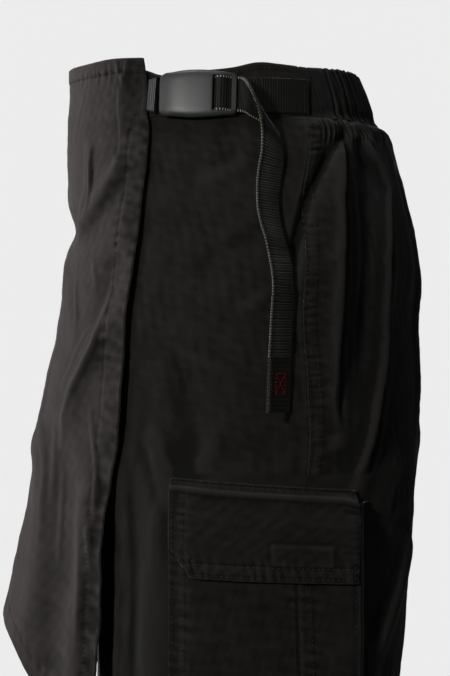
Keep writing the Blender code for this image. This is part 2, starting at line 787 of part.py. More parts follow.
def in_place(matrix, out, along, up):
    """World points from points in a placing."""
    local = np.stack(np.broadcast_arrays(out, along, up), axis=-1)
    turn = np.array(matrix.to_3x3())
    return local @ turn.T + np.array(matrix.translation)


def tail_edges(step):
    """Near and far edge of the hanging webbing at a step of its table."""
    near_y, near_z = read(TAIL, step, "near_y"), read(TAIL, step, "near_z")
    far_y, far_z = read(TAIL, step, "far_y"), read(TAIL, step, "far_z")
    cloth, _ = on_side(far_y, np.minimum(far_z, BAND_SEAM - 0.001))
    far_x = cloth[..., 0] + read(TAIL, step, "lift")
    reach = STRAP_WIDTH**2 - (near_y - far_y) ** 2 - (near_z - far_z) ** 2
    near = np.stack([far_x + np.sqrt(reach), near_y, near_z], axis=-1)
    return near, np.stack([far_x, far_y, far_z], axis=-1)


def across_edges(first, second, bulge=0.0):
    """Three points across a strap for each pair of edge points."""
    middle = (first + second) / 2 + np.array((0.0, bulge, 0.0))
    return np.stack([first, middle, second], axis=1)


def make_webbing(collection):
    """The belt webbing: sewn end, strap, loop round the bar and hanging tail, and the short stub."""
    half = STRAP_WIDTH / 2
    top, bottom = STRAP_MIDDLE + half, STRAP_MIDDLE - half
    y = np.linspace(STRAP_START, STRAP_LEAVES, 7)
    off = 2 * SEAM_GAP + WEBBING / 2
    strap = across_edges(band_point(y, np.full(7, top), off)[0], band_point(y, np.full(7, bottom), off)[0])

    place = buckle_place()
    radius = BAR_RADIUS + 2 * SEAM_GAP + WEBBING / 2
    turn = np.radians(np.linspace(-80.0, -280.0, 8))
    before, after = np.array(TO_BAR), np.array(FROM_BAR)
    along = np.concatenate([before[:, 0], BAR_ALONG + radius * np.cos(turn), after[:, 0]])
    out = np.concatenate([before[:, 1], BAR_OUT + radius * np.sin(turn), after[:, 1]])
    loop = across_edges(in_place(place, out, along, half), in_place(place, out, along, -half))

    near, far = tail_edges(np.linspace(TAIL[0].step, TAIL[-1].step, 22))
    tail = across_edges(near, far, 0.0008)
    grid = np.concatenate([strap, loop, tail])
    ribbon("belt_webbing", grid, WEBBING, collection, BLACK_WEBBING)

    end_near, end_far = near[-1], far[-1]
    drop = np.linspace(SEAM_GAP, end_near[2] - LABEL_END, 5)[:, None] * np.array((0.0, -0.03, -1.0))
    label = across_edges(end_near + drop, end_far + drop)
    ribbon("tail_label", label, LABEL_THICKNESS, collection, LABEL_TAPE)

    y = np.linspace(STUB_END, STUB_START, 4)
    stub = across_edges(band_point(y, np.full(4, top), off)[0], band_point(y, np.full(4, bottom), off)[0])
    ribbon("belt_stub", stub, WEBBING, collection, BLACK_WEBBING)


def cover_ring(station):
    """The cover's outline at one place along it: flat back, sides drawn in, crowned front."""
    h = station.half_height
    share = 1 - (station.along / FRAME_HALF_LENGTH) ** 4 * 0.35
    d = FRAME_DEPTH * share
    back = -station.along**2 / (2 * FRAME_CURVE)
    ring = ((0.0, -h * 0.94), (0.25 * d, -h), (0.62 * d, -h * 0.97), (0.88 * d, -h * 0.82), (0.97 * d, -h * 0.45),
            (d, 0.0), (0.97 * d, h * 0.45), (0.88 * d, h * 0.82), (0.62 * d, h * 0.97), (0.25 * d, h), (0.0, h * 0.94))
    return [Vector((back + out, station.along, up)) for out, up in ring]


def loft(rings):
    """A closed bmesh through rings of equal counts, with end caps."""
    bm = bmesh.new()
    loops = [[bm.verts.new(point) for point in ring] for ring in rings]
    count = len(loops[0])
    for first, second in zip(loops[:-1], loops[1:]):
        for i in range(count):
            bm.faces.new((first[i], first[(i + 1) % count], second[(i + 1) % count], second[i]))
    bm.faces.new(loops[0])
    bm.faces.new(loops[-1])
    return bm


def cutter_box(name, low, high, place, collection):
    """A box that only cuts, in the buckle's placing."""
    bm = bmesh.new()
    bmesh.ops.create_cube(bm, size=1.0)
    for vert in bm.verts:
        share = vert.co + Vector((0.5, 0.5, 0.5))
        vert.co = Vector([low[i] + share[i] * (high[i] - low[i]) for i in range(3)])
    cutter = finish_mesh(name, bm, collection, DARK_PLASTIC)
    cutter.parent = place
    cutter.hide_render = True
    cutter.display_type = "WIRE"
    return cutter


def make_buckle(collection, cutters):
    """The cover with its opening, the bar in it, and the ribbed tongue by the wrap's edge."""
    place = bpy.data.objects.new("buckle_placing", None)
    place.matrix_world = buckle_place()
    collection.objects.link(place)

    cover = finish_mesh("buckle_frame", loft([cover_ring(s) for s in FRAME_STATIONS]), collection, DARK_PLASTIC)
    cover.parent = place
    wide = OPENING_HALF_WIDTH
    under_rim = FRAME_HALF_LENGTH + 0.002
    boxes = (
        ("cut_opening", (-0.004, OPENING_START, -wide), (0.012, OPENING_END, wide)),
        ("cut_under_rim", (-0.004, OPENING_END - 0.001, -wide), (0.0024, under_rim, wide)),
    )
    for name, low, high in boxes:
        cut = cover.modifiers.new(name, "BOOLEAN")
        cut.operation = "DIFFERENCE"
        cut.solver = "EXACT"
        cut.object = cutter_box(name, low, high, place, cutters)

    bm = bmesh.new()
    bmesh.ops.create_cone(bm, cap_ends=True, segments=12, radius1=BAR_RADIUS, radius2=BAR_RADIUS,
                          depth=2 * (wide - SEAM_GAP))
    bar = finish_mesh("buckle_bar", bm, collection, DARK_PLASTIC)
    bar.parent = place
    bar.location = (BAR_OUT, BAR_ALONG, 0.0)

    tongue_place = bpy.data.objects.new("tongue_placing", None)
    tongue_place.matrix_world = place_on_band(TONGUE_Y, BUCKLE_LIFT)
    collection.objects.link(tongue_place)
    half = TONGUE_LENGTH / 2
    stations = ((-half, 0.0112, 0.8), (-0.4 * half, 0.0118, 1.0), (0.4 * half, 0.0124, 1.08), (half, 0.0128, 1.1))
    rings = []
    for along, height, thick in stations:
        d = TONGUE_DEPTH * thick
        ring = ((0.0, -height), (0.6 * d, -height), (d, -0.8 * height), (d, 0.8 * height), (0.6 * d, height), (0.0, height))
        rings.append([Vector((out, along, up)) for out, up in ring])
    tongue = finish_mesh("buckle_tongue", loft(rings), collection, DARK_PLASTIC)
    tongue.parent = tongue_place


def main():
    """Clears the scene and models the skort."""
    for obj in list(bpy.data.objects):
        bpy.data.objects.remove(obj, do_unlink=True)
    garment = bpy.data.collections.new("skort")
    cutters = bpy.data.collections.new("skort_cutters")
    cutters.hide_render = True
    for collection in (garment, cutters):
        bpy.context.scene.collection.children.link(collection)
    make_shorts(garment)
    make_waistbands(garment)
    make_wrap(garment)
    make_pocket(garment)
    make_webbing(garment)
    make_buckle(garment, cutters)
    bpy.context.view_layer.update()


main()
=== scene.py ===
"""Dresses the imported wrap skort: creased twill panels, sewn seams, webbing belt, buckle and studio.

Metres, +Z up. The garment's front is at -Y and its left side at +X. Angles go round it from the
middle of the front (0) over the left side (90) to the middle of the back (180). Tables are in
millimetres and degrees, and are turned into metres when they are made.
"""

from __future__ import annotations

import logging
from dataclasses import dataclass, field
from enum import Enum
from math import pi
from typing import Any, Callable, NamedTuple, Sequence

import bmesh
import bpy
import numpy as np
from bpy.types import Material, NodeSocket, Object
from mathutils import Matrix, Vector

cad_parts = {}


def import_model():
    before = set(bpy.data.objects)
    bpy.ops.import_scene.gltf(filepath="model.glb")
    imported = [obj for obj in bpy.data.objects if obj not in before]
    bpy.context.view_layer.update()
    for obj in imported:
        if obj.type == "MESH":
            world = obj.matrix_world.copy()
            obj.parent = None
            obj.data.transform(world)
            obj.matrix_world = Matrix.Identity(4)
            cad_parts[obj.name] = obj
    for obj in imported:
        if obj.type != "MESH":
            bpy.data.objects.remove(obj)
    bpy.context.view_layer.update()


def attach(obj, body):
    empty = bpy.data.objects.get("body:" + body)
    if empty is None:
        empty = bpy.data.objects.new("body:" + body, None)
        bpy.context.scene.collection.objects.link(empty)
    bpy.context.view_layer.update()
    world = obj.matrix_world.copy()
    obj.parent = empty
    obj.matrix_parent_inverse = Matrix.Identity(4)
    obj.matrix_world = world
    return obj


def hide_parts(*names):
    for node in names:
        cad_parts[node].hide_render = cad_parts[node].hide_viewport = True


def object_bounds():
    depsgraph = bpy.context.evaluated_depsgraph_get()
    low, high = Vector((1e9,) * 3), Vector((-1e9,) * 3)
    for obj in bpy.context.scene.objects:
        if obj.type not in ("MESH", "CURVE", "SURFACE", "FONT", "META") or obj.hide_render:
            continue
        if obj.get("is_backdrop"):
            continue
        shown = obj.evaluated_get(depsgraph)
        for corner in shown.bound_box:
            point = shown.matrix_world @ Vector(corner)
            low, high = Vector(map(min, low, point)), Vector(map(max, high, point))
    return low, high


Array = np.ndarray
Surface = Callable[[Array, Array], Array]
Colour = tuple[float, float, float]
Pair = tuple[Array, Array]
Path = tuple[tuple[float, float], ...]
LOG = logging.getLogger("skort")
BODY = "root"
SLOPE_STEP = 1e-3
BISECTIONS = 32
BODY_RADIUS = 0.13
FOLD_RADIUS = 0.15
FACING_RADIUS = 0.125


# ---------------------------------------------------------------- tables

NOT_LENGTHS = ("angle", "edge_angle", "across", "step")


def table(kind: type, *rows: tuple[float, ...]) -> tuple[Any, ...]:
    """Makes a table from rows in millimetres, degrees and shares.

    Args:
        kind: The row's class, which names the columns.
        rows: The rows.

    Returns:
        The rows, with their lengths in metres.
    """
    units = [1.0 if column in NOT_LENGTHS else 1000.0 for column in kind._fields]
    return tuple(kind(*(value / unit for value, unit in zip(row, units))) for row in rows)


def path(*points: tuple[float, float]) -> Path:
    """A path of (height, angle) points, given in millimetres and degrees."""
    return tuple((z / 1000.0, float(angle)) for z, angle in points)


def folds(kind: type, *rows: Any) -> tuple[Any, ...]:
    """Folds or pleats from rows of a name, its sizes and the points of its path."""
    return tuple(kind(name, *(size / 1000.0 for size in sizes), path(*points))
                 for name, sizes, *points in rows)


class Section(NamedTuple):
    """The shorts' outline at one height: half width, and reach to the front and to the back."""

    z: float
    side: float
    front: float
    back: float


SECTIONS = table(
    Section,
    (12, 137, 104, 103),
    (0, 138, 104, 109),
    (-20, 141, 104, 116),
    (-30, 143, 104, 119),
    (-36, 144.5, 104, 126),
    (-51, 149, 104, 133),
    (-66, 153, 104, 137.5),
    (-88, 160, 104, 142.5),
    (-113, 166, 103, 148.5),
    (-133, 170, 104, 152),
    (-180, 176, 106, 152),
    (-221, 178, 107, 157.5),
    (-266, 178, 108, 160),
    (-300, 178, 108.5, 152),
    (-324, 178, 109, 144.5),
    (-359, 178, 109, 140),
    (-411, 178, 109, 134.7),
    (-445, 178, 108, 130.2),
    (-480, 178, 108, 126.2),
)


class SideSeam(NamedTuple):
    """Where the side seam runs round the body at one height."""

    z: float
    angle: float


SIDE_SEAM = table(
    SideSeam,
    (5, 125.5),
    (-19, 121),
    (-33, 117.4),
    (-55, 114),
    (-88, 109.2),
    (-130, 106.8),
    (-215, 106),
    (-300, 105.5),
    (-480, 106.5),
)


class WrapRow(NamedTuple):
    """The wrap panel at one height: its reach to the front, and its free edge's place and gap."""

    z: float
    front: float
    edge_angle: float
    edge_gap: float


WRAP = table(
    WrapRow,
    (12, 111.5, 63, 4.6),
    (-12, 111.5, 62.6, 4.6),
    (-39, 113, 61.4, 4.6),
    (-77, 112.5, 58.8, 5.6),
    (-109, 112.5, 56, 6.8),
    (-145, 116, 53.6, 7.5),
    (-190, 122, 52, 8.2),
    (-222, 130, 51.2, 8.8),
    (-262, 136, 50.1, 9.8),
    (-309, 143, 47.8, 11.5),
    (-342, 149, 47.4, 13),
    (-372, 156, 48, 14),
    (-397, 162, 48, 15),
    (-430, 169, 47.3, 17),
    (-480, 178, 46.5, 19.5),
)


class WrapEnd(NamedTuple):
    """Top and hem of the wrap at a share of its width, from the right side seam to its free edge."""

    across: float
    top: float
    hem: float


WRAP_ENDS = table(
    WrapEnd,
    (0, 5, -358),
    (0.2, 9, -358),
    (0.5, 12, -366),
    (0.65, 12, -384),
    (0.72, 11, -396),
    (0.79, 10, -413),
    (0.85, 10, -435),
    (0.92, 11, -458),
    (1, 10, -478),
)


class BandTop(NamedTuple):
    """Height of a waistband's top edge at an angle."""

    angle: float
    z: float


BAND_TOP = table(
    BandTop,
    (0, 3),
    (50, 3),
    (62, 1),
    (67, -2.5),
    (82, -0.5),
    (95, 2),
    (105, 6),
    (114, 5.3),
    (125, 4.2),
    (140, 5.5),
    (180, 6),
)


class Fold(NamedTuple):
    """A ridge (or, below zero, a trough) along a path of (height, angle) points."""

    name: str
    width: float
    height: float
    path: Path


WRAP_FOLDS = folds(
    Fold,
    ("drag from top edge", (7, 2), (-53, 33), (-82, 31.8), (-106, 25.2)),
    ("drag to pinch", (8, 3), (-68, 48), (-96, 34.5), (-112, 23)),
    ("pinch", (12, -5.5), (-109, 22), (-110, 2), (-104, -18)),
    ("hollow by edge", (12, -2.5), (-140, 46), (-175, 42)),
    ("lower drag", (10, 2.8), (-178, 43.8), (-224, 31.5), (-243, 28.8)),
    ("belly ridge", (10, 2), (-136, 12.5), (-164, 22.5), (-190, 28.5)),
    ("step under drag", (12, 2.5), (-268, 14), (-272, -16)),
    ("flare ridge", (14, 3), (-258, 10.5), (-327, 20), (-385, 21)),
    ("flare trough", (14, -3), (-280, 28), (-420, 31)),
    ("edge ridge", (12, 3), (-300, 40), (-440, 40)),
    ("right drag", (10, 2.8), (-60, -60), (-110, -45), (-140, -25)),
    ("right flare", (18, 4.5), (-200, -28), (-350, -34)),
    ("right flare trough", (18, -3.5), (-190, -52), (-345, -58)),
    ("right seam ridge", (14, 3), (-120, -80), (-345, -84)),
)

WRAP_CREASES = folds(
    Fold,
    ("drag tail", (2.4, 1.7), (-50, 34.6), (-75, 34.4), (-90, 34.6), (-101, 32.4)),
    ("drag crest", (6, 1), (-60, 50), (-75, 47), (-86, 42.5), (-98, 36.5), (-112, 26)),
    ("drag fall", (4.6, 0.6), (-98, 37.5), (-108, 28), (-120, 17), (-134, 15)),
    ("top nick", (3, 0.8), (-14, 28.7), (-29, 24.5), (-43, 20)),
    ("top tuck", (2.4, 0.9), (9, 50.4), (-3, 52.6), (-11, 54.8)),
    ("top cross tuck", (2.4, 0.9), (10, 56.4), (-1, 53.9), (-8, 51.8)),
    ("belly line", (2.6, 0.9), (-140, 25.5), (-184, 29.5)),
    ("belly front line", (2.8, 1.1), (-132, 11.5), (-160, 17.5), (-176, 19)),
    ("short line", (2.6, 0.8), (-134, 36), (-154, 39)),
    ("lower crest", (3.4, 1.7), (-140, 45.9), (-162, 44.7), (-176, 42.3), (-194, 40.2), (-213, 34.6),
     (-230, 29.4), (-266, 25.9)),
    ("lower crest side", (2.6, 0.8), (-178, 37.5), (-200, 31), (-224, 24)),
    ("knee line", (3.2, 1.2), (-185, 12.4), (-217, 9.9), (-249, 11.4), (-270, 17.3), (-289, 19.3),
     (-306, 20.2), (-340, 21.6)),
    ("inner knee line", (3, 0.8), (-250, 21.7), (-278, 22.8), (-312, 24)),
    ("fall line", (3, 1), (-282, 26.6), (-320, 28.2), (-352, 29.3)),
    ("low fall line", (3.4, 0.9), (-326, 38.8), (-375, 40), (-410, 40.5)),
    ("fall hollow", (8, -1.4), (-286, 33.5), (-390, 35)),
    ("edge line", (2.6, 1.1), (-240, 38.6), (-272, 42), (-295, 43.6), (-322, 44.4)),
    ("edge nick", (3, 1.2), (-318, 42), (-348, 43.6)),
    ("low nick", (3.4, 1), (-360, 40.6), (-384, 41.6)),
    ("front hem fall", (8, 1.6), (-330, 5), (-366, 3)),
    ("right top drag", (3.5, 1.4), (-30, -66), (-75, -50)),
    ("right belly drag", (3.5, 1.4), (-140, -70), (-165, -44), (-176, -26)),
    ("right hem fall", (6, 1.5), (-290, -70), (-350, -72)),
)

SIDE_FOLDS = folds(
    Fold,
    ("seam drag", (8, -2.8), (-43, 128), (-63, 119.3), (-82, 112.8), (-116, 105.8), (-130, 103)),
    ("first ridge", (8, 3), (-30, 131.5), (-60, 125), (-130, 118.5), (-190, 116.5), (-260, 114.5)),
    ("valley", (10, -2.4), (-60, 134), (-130, 128), (-230, 122)),
    ("second ridge", (10, 3.4), (-40, 140), (-59, 144), (-81, 146), (-113, 141), (-190, 134.5),
     (-294, 123)),
    ("thigh drag", (14, 4.4), (-341, 161), (-391, 148.5), (-412, 139.8), (-430, 139.3)),
    ("front hollow", (16, -3), (-225, 69), (-275, 69.5)),
    ("front ridge", (9, 2.2), (-262, 57.5), (-300, 63.2)),
    ("front leg fall", (20, -2), (-330, 28), (-470, 22)),
    ("inner leg fall", (18, 3.5), (-360, -42), (-470, -46)),
    ("back leg fall", (20, 4), (-350, 196), (-470, 190)),
    ("back leg hollow", (18, -4), (-360, 176), (-470, 172)),
    ("seat fold", (12, 3.5), (-262, 176), (-300, 190), (-322, 206)),
    ("under seat hollow", (14, -3.5), (-290, 172), (-338, 196)),
)

SIDE_CREASES = folds(
    Fold,
    ("belt drag", (7, 0.9), (-60, 96), (-72, 84), (-80, 74)),
    ("hip drag", (8, -1), (-98, 100), (-118, 90), (-128, 80)),
    ("tail shadow drag", (6, 0.8), (-150, 99), (-172, 86)),
    ("hip line", (7, 0.8), (-196, 66), (-212, 82)),
    ("flap drag", (7, 1.2), (-258, 78), (-284, 72)),
    ("flap corner drag", (4, 1.2), (-268, 58), (-286, 64.5)),
    ("leg front line", (5, 0.8), (-300, 60), (-360, 57)),
    ("seam pull", (4.2, -3.6), (-16, 141), (-42.9, 129.6), (-55.7, 122.3), (-70.5, 115.9), (-88.4, 110.7),
     (-108.9, 106.2), (-128, 103.2), (-165, 101.5)),
    ("seat crest", (4, 0.9), (-46, 132), (-120, 126), (-250, 120)),
    ("thigh line", (6, 1.1), (-335, 158), (-388, 147), (-420, 139)),
    ("seat line", (6, 1.3), (-230, 160), (-262, 178)),
    ("back drag", (6, 1.3), (-130, 168), (-190, 158)),
    ("seat hang", (6, 1.3), (-50, 160), (-120, 157), (-170, 152)),
)


class Pleat(NamedTuple):
    """A soft pleat along a path: a slow rise before it and a steep fall after it."""

    name: str
    height: float
    rise: float
    fall: float
    hollow: float
    path: Path


SEAT_PLEATS = folds(
    Pleat,
    ("first", (4.6, 22, 4, 2.6), (-36, 131), (-42, 129.2), (-63, 124.8), (-92, 121.2), (-134, 117.6),
     (-177, 117), (-207, 114.8), (-233, 113.4), (-256, 113.4)),
    ("second", (3.6, 12, 4.2, 2.4), (-36, 137), (-49, 138.6), (-64, 143.2), (-83, 144.8), (-105, 140.8),
     (-133, 137), (-162, 136), (-191, 134.8), (-201, 133.4), (-233, 129.4), (-262, 125.8), (-284, 123.2),
     (-298, 122)),
    ("third", (2.2, 14, 7, 1), (-40, 166), (-110, 166), (-200, 160), (-270, 158)),
)


class TailRow(NamedTuple):
    """The hanging webbing: its near and its far edge, as seen from the left."""

    step: float
    near_y: float
    near_z: float
    far_y: float
    far_z: float
    lift: float


TAIL = table(
    TailRow,
    (0, 22.8, -12, 26.2, -33.5, 4.6),
    (1, 27, -21, 35.7, -38.5, 4),
    (2, 29.8, -30, 42.7, -44, 3.5),
    (3, 31.7, -42.4, 46, -52, 3),
    (4, 31.4, -58.5, 46.6, -63, 3),
    (5, 28.8, -73.6, 45, -75.5, 3),
    (6, 28.2, -88.4, 42.8, -90, 3),
    (7, 29.5, -105, 44, -106.5, 3),
    (8, 33.6, -118.6, 47.5, -121.4, 3),
    (9, 37, -135.4, 51.5, -135.4, 3),
    (10, 38.8, -148.6, 52.7, -149.3, 3),
    (12, 37.6, -175.8, 52.5, -175.9, 3),
    (13, 36.8, -190.5, 51.8, -190.6, 3),
    (14, 36.2, -201.5, 51, -201.8, 3),
)


class LoopPoint(NamedTuple):
    """Middle of the webbing round the buckle's bar, along the buckle and out from its back."""

    along: float
    out: float


TO_BAR = table(
    LoopPoint,
    (28, -1.8),
    (24, -0.8),
    (19.5, 0.3),
)
FROM_BAR = table(
    LoopPoint,
    (19, 5.2),
    (22, 2.6),
    (24.5, 1.2),
    (27, 0.6),
    (29.5, 0.3),
)


class FrameStation(NamedTuple):
    """Half height of the buckle's cover along its length."""

    along: float
    half_height: float


FRAME_STATIONS = table(
    FrameStation,
    (-27.5, 12.8),
    (-26.2, 14.2),
    (-18, 16.1),
    (-8, 17.3),
    (3, 17.4),
    (13, 16.6),
    (22, 15.5),
    (26.2, 14.7),
    (27.5, 13.5),
)

FACING_LINE = path(
    (-28, 58), (-42, 53.9), (-55, 52.7), (-71, 52.2), (-87, 50.9), (-102, 49), (-119, 47.4), (-137, 46.2),
    (-162, 45.2), (-187, 44.9), (-204, 44.2), (-233, 43.3), (-261, 42.5), (-290, 42.2), (-318, 42.4),
    (-346, 42.8), (-375, 43), (-403, 43.1), (-430, 43), (-462, 42.4),
)
FACING_FOLD = path((-6, 50.4), (-32, 49.8), (-53, 48.7), (-62, 48.4))


# ---------------------------------------------------------------- shapes in numbers


def read(table: Sequence[Any], place: Array | float, column: str) -> Array:
    """Reads a column of a table at a place, smooth between its rows.

    Args:
        table: Rows whose first column is the place.
        place: Where to read.
        column: The column's name.

    Returns:
        The column's value at each place.
    """
    rows = sorted(table, key=lambda row: row[0])
    places = np.array([row[0] for row in rows])
    values = np.array([getattr(row, column) for row in rows])
    slopes = np.gradient(values, places)
    place = np.asarray(place, float)
    i = np.clip(np.searchsorted(places, place) - 1, 0, len(rows) - 2)
    step = places[i + 1] - places[i]
    t = np.clip((place - places[i]) / step, 0.0, 1.0)
    bend = t * (1 - t) ** 2 * slopes[i] - t * t * (1 - t) * slopes[i + 1]
    return values[i] + (values[i + 1] - values[i]) * t * t * (3 - 2 * t) + step * bend


def ease(start: float, end: float, value: Array | float) -> Array:
    """0 before start, 1 after end, smooth between."""
    t = np.clip((np.asarray(value, float) - start) / (end - start), 0.0, 1.0)
    return t * t * (3 - 2 * t)


def ridge(distance: Array, width: float) -> Array:
    """1 on a ridge's line, falling to nearly 0 at twice its width."""
    return np.exp(-((distance / width) ** 2))


def halved(low: float, high: float, like: Array, too_far: Callable[[Array], Array]) -> Array:
    """Finds, for many places at once, where a test turns true.

    Args:
        low: Where the test is surely false.
        high: Where it is surely true.
        like: Values in the shape of the places.
        too_far: The test.

    Returns:
        The place of each turn.
    """
    lows, highs = np.full(np.shape(like), low), np.full(np.shape(like), high)
    for _ in range(BISECTIONS):
        middle = (lows + highs) / 2
        beyond = too_far(middle)
        highs, lows = np.where(beyond, middle, highs), np.where(beyond, lows, middle)
    return middle


def wrap_ends(u: Array) -> Pair:
    """Top and hem of the wrap at shares of its width."""
    return read(WRAP_ENDS, u, "top"), read(WRAP_ENDS, u, "hem")


def unit(vectors: Array) -> Array:
    """The same vectors, each one long."""
    return vectors / np.maximum(np.linalg.norm(vectors, axis=-1, keepdims=True), 1e-12)


def normals(surface: Surface, u: Array, v: Array) -> Array:
    """Unit normals of a surface function, from its slopes both ways.

    Args:
        surface: The surface function.
        u: Shares across.
        v: Shares down.

    Returns:
        One normal for each place.
    """
    across = surface(u + SLOPE_STEP, v) - surface(u - SLOPE_STEP, v)
    down = surface(u, v + SLOPE_STEP) - surface(u, v - SLOPE_STEP)
    return unit(np.cross(across, down))


def stations(*stops: tuple[float, int]) -> Array:
    """Shares from 0 to 1, closer together where it is asked.

    Args:
        stops: Pairs of the share that a stretch ends at and its number of steps.

    Returns:
        All the shares in order.
    """
    made, start = [0.0], 0.0
    for end, count in stops:
        made.extend(np.linspace(start, end, count + 1)[1:])
        start = end
    return np.array(made)


def ripples(x: Array, y: Array, length: float, seed: int) -> Array:
    """Soft uneven waves of about this length, mostly between -1 and 1.

    Args:
        x: Places one way.
        y: Places the other way.
        length: The waves' length.
        seed: Which pattern.

    Returns:
        Their heights.
    """
    rng = np.random.default_rng(seed)
    total = np.zeros(np.broadcast(x, y).shape)
    for _ in range(9):
        turn, size, phase = rng.uniform(0, pi), length * rng.uniform(0.6, 1.8), rng.uniform(0, 2 * pi)
        total += np.sin(2 * pi * (x * np.cos(turn) + y * np.sin(turn)) / size + phase)
    return total / 4.0


def path_place(route: Path, z: Array, angle: Array, radius: float) -> tuple[Array, Array, Array]:
    """Finds where points lie beside a path of (height, angle) points.

    Args:
        route: The path, in metres and degrees.
        z: Heights of the points.
        angle: Angles of the points, in degrees.
        radius: What turns an angle into a distance.

    Returns:
        Distance from the path (above zero towards larger angles), length along it, and share along it.
    """
    scale = np.radians(1.0) * radius
    here = np.stack([z, angle * scale], axis=-1)
    line = np.array(route) * (1.0, scale)
    best = np.full(np.shape(z), np.inf)
    along, side, passed = np.zeros(np.shape(z)), np.ones(np.shape(z)), 0.0
    for start, end in zip(line[:-1], line[1:]):
        run = end - start
        size = float(np.hypot(*run))
        t = np.clip(((here - start) @ run) / (run @ run), 0.0, 1.0)
        off = here - start - t[..., None] * run
        distance = np.linalg.norm(off, axis=-1)
        nearer = distance < best
        best = np.where(nearer, distance, best)
        along = np.where(nearer, passed + t * size, along)
        side = np.where(nearer, np.where(off[..., 1] < 0, -1.0, 1.0), side)
        passed += size
    return best * side, along, along / passed


def fold_height(rows: Sequence[Fold], z: Array, angle: Array, tapered: bool = False) -> Array:
    """Height of all the folds at points given by their height and angle in degrees.

    Args:
        rows: The folds.
        z: Heights of the points.
        angle: Angles of the points, in degrees.
        tapered: Whether each fold dies out towards its ends.

    Returns:
        How far the cloth stands out at each point.
    """
    total = np.zeros(np.shape(z))
    for fold in rows:
        distance, _, share = path_place(fold.path, z, angle, FOLD_RADIUS)
        fade = ease(-0.15, 0.35, share) * ease(1.15, 0.65, share) if tapered else 1.0
        total += fold.height * fade * ridge(distance, fold.width)
    return total


def pleat_height(pleats: Sequence[Pleat], z: Array, angle: Array) -> Array:
    """Height of all the pleats at points given by their height and angle in degrees.

    Args:
        pleats: The pleats.
        z: Heights.
        angle: Angles, in degrees.

    Returns:
        The heights, in metres.
    """
    total = np.zeros(np.shape(z))
    for pleat in pleats:
        distance, _, share = path_place(pleat.path, z, angle, FOLD_RADIUS)
        fade = ease(0.0, 0.16, share) * ease(1.01, 0.86, share)
        rising, falling = ease(-pleat.rise, 0.0, distance) ** 1.6, ease(pleat.fall, 0.0, distance)
        shape = np.where(distance < 0, rising, falling)
        total += fade * pleat.height * shape
        total -= fade * pleat.hollow * np.exp(-(((distance / pleat.fall) - 1.5) ** 2) * 1.5)
    return total


def smooth_rows(rows: Array, count: int) -> Pair:
    """Draws a smooth band through rows of points.

    Args:
        rows: Points, rows by columns by 3.
        count: How many rows to make, evenly spaced along the band.

    Returns:
        The new rows, and how far along the band each is.
    """
    middle = rows.mean(axis=1)
    length = np.concatenate([[0.0], np.cumsum(np.linalg.norm(np.diff(middle, axis=0), axis=-1))])
    flat = rows.reshape(len(rows), -1)
    slopes = np.gradient(flat, length, axis=0)
    place = np.linspace(0.0, length[-1], count)
    i = np.clip(np.searchsorted(length, place) - 1, 0, len(length) - 2)
    step = (length[i + 1] - length[i])[:, None]
    t = ((place - length[i]) / step[:, 0])[:, None]
    bend = t * (1 - t) ** 2 * slopes[i] - t * t * (1 - t) * slopes[i + 1]
    made = flat[i] + (flat[i + 1] - flat[i]) * t * t * (3 - 2 * t) + step * bend
    return made.reshape(count, rows.shape[1], 3), place


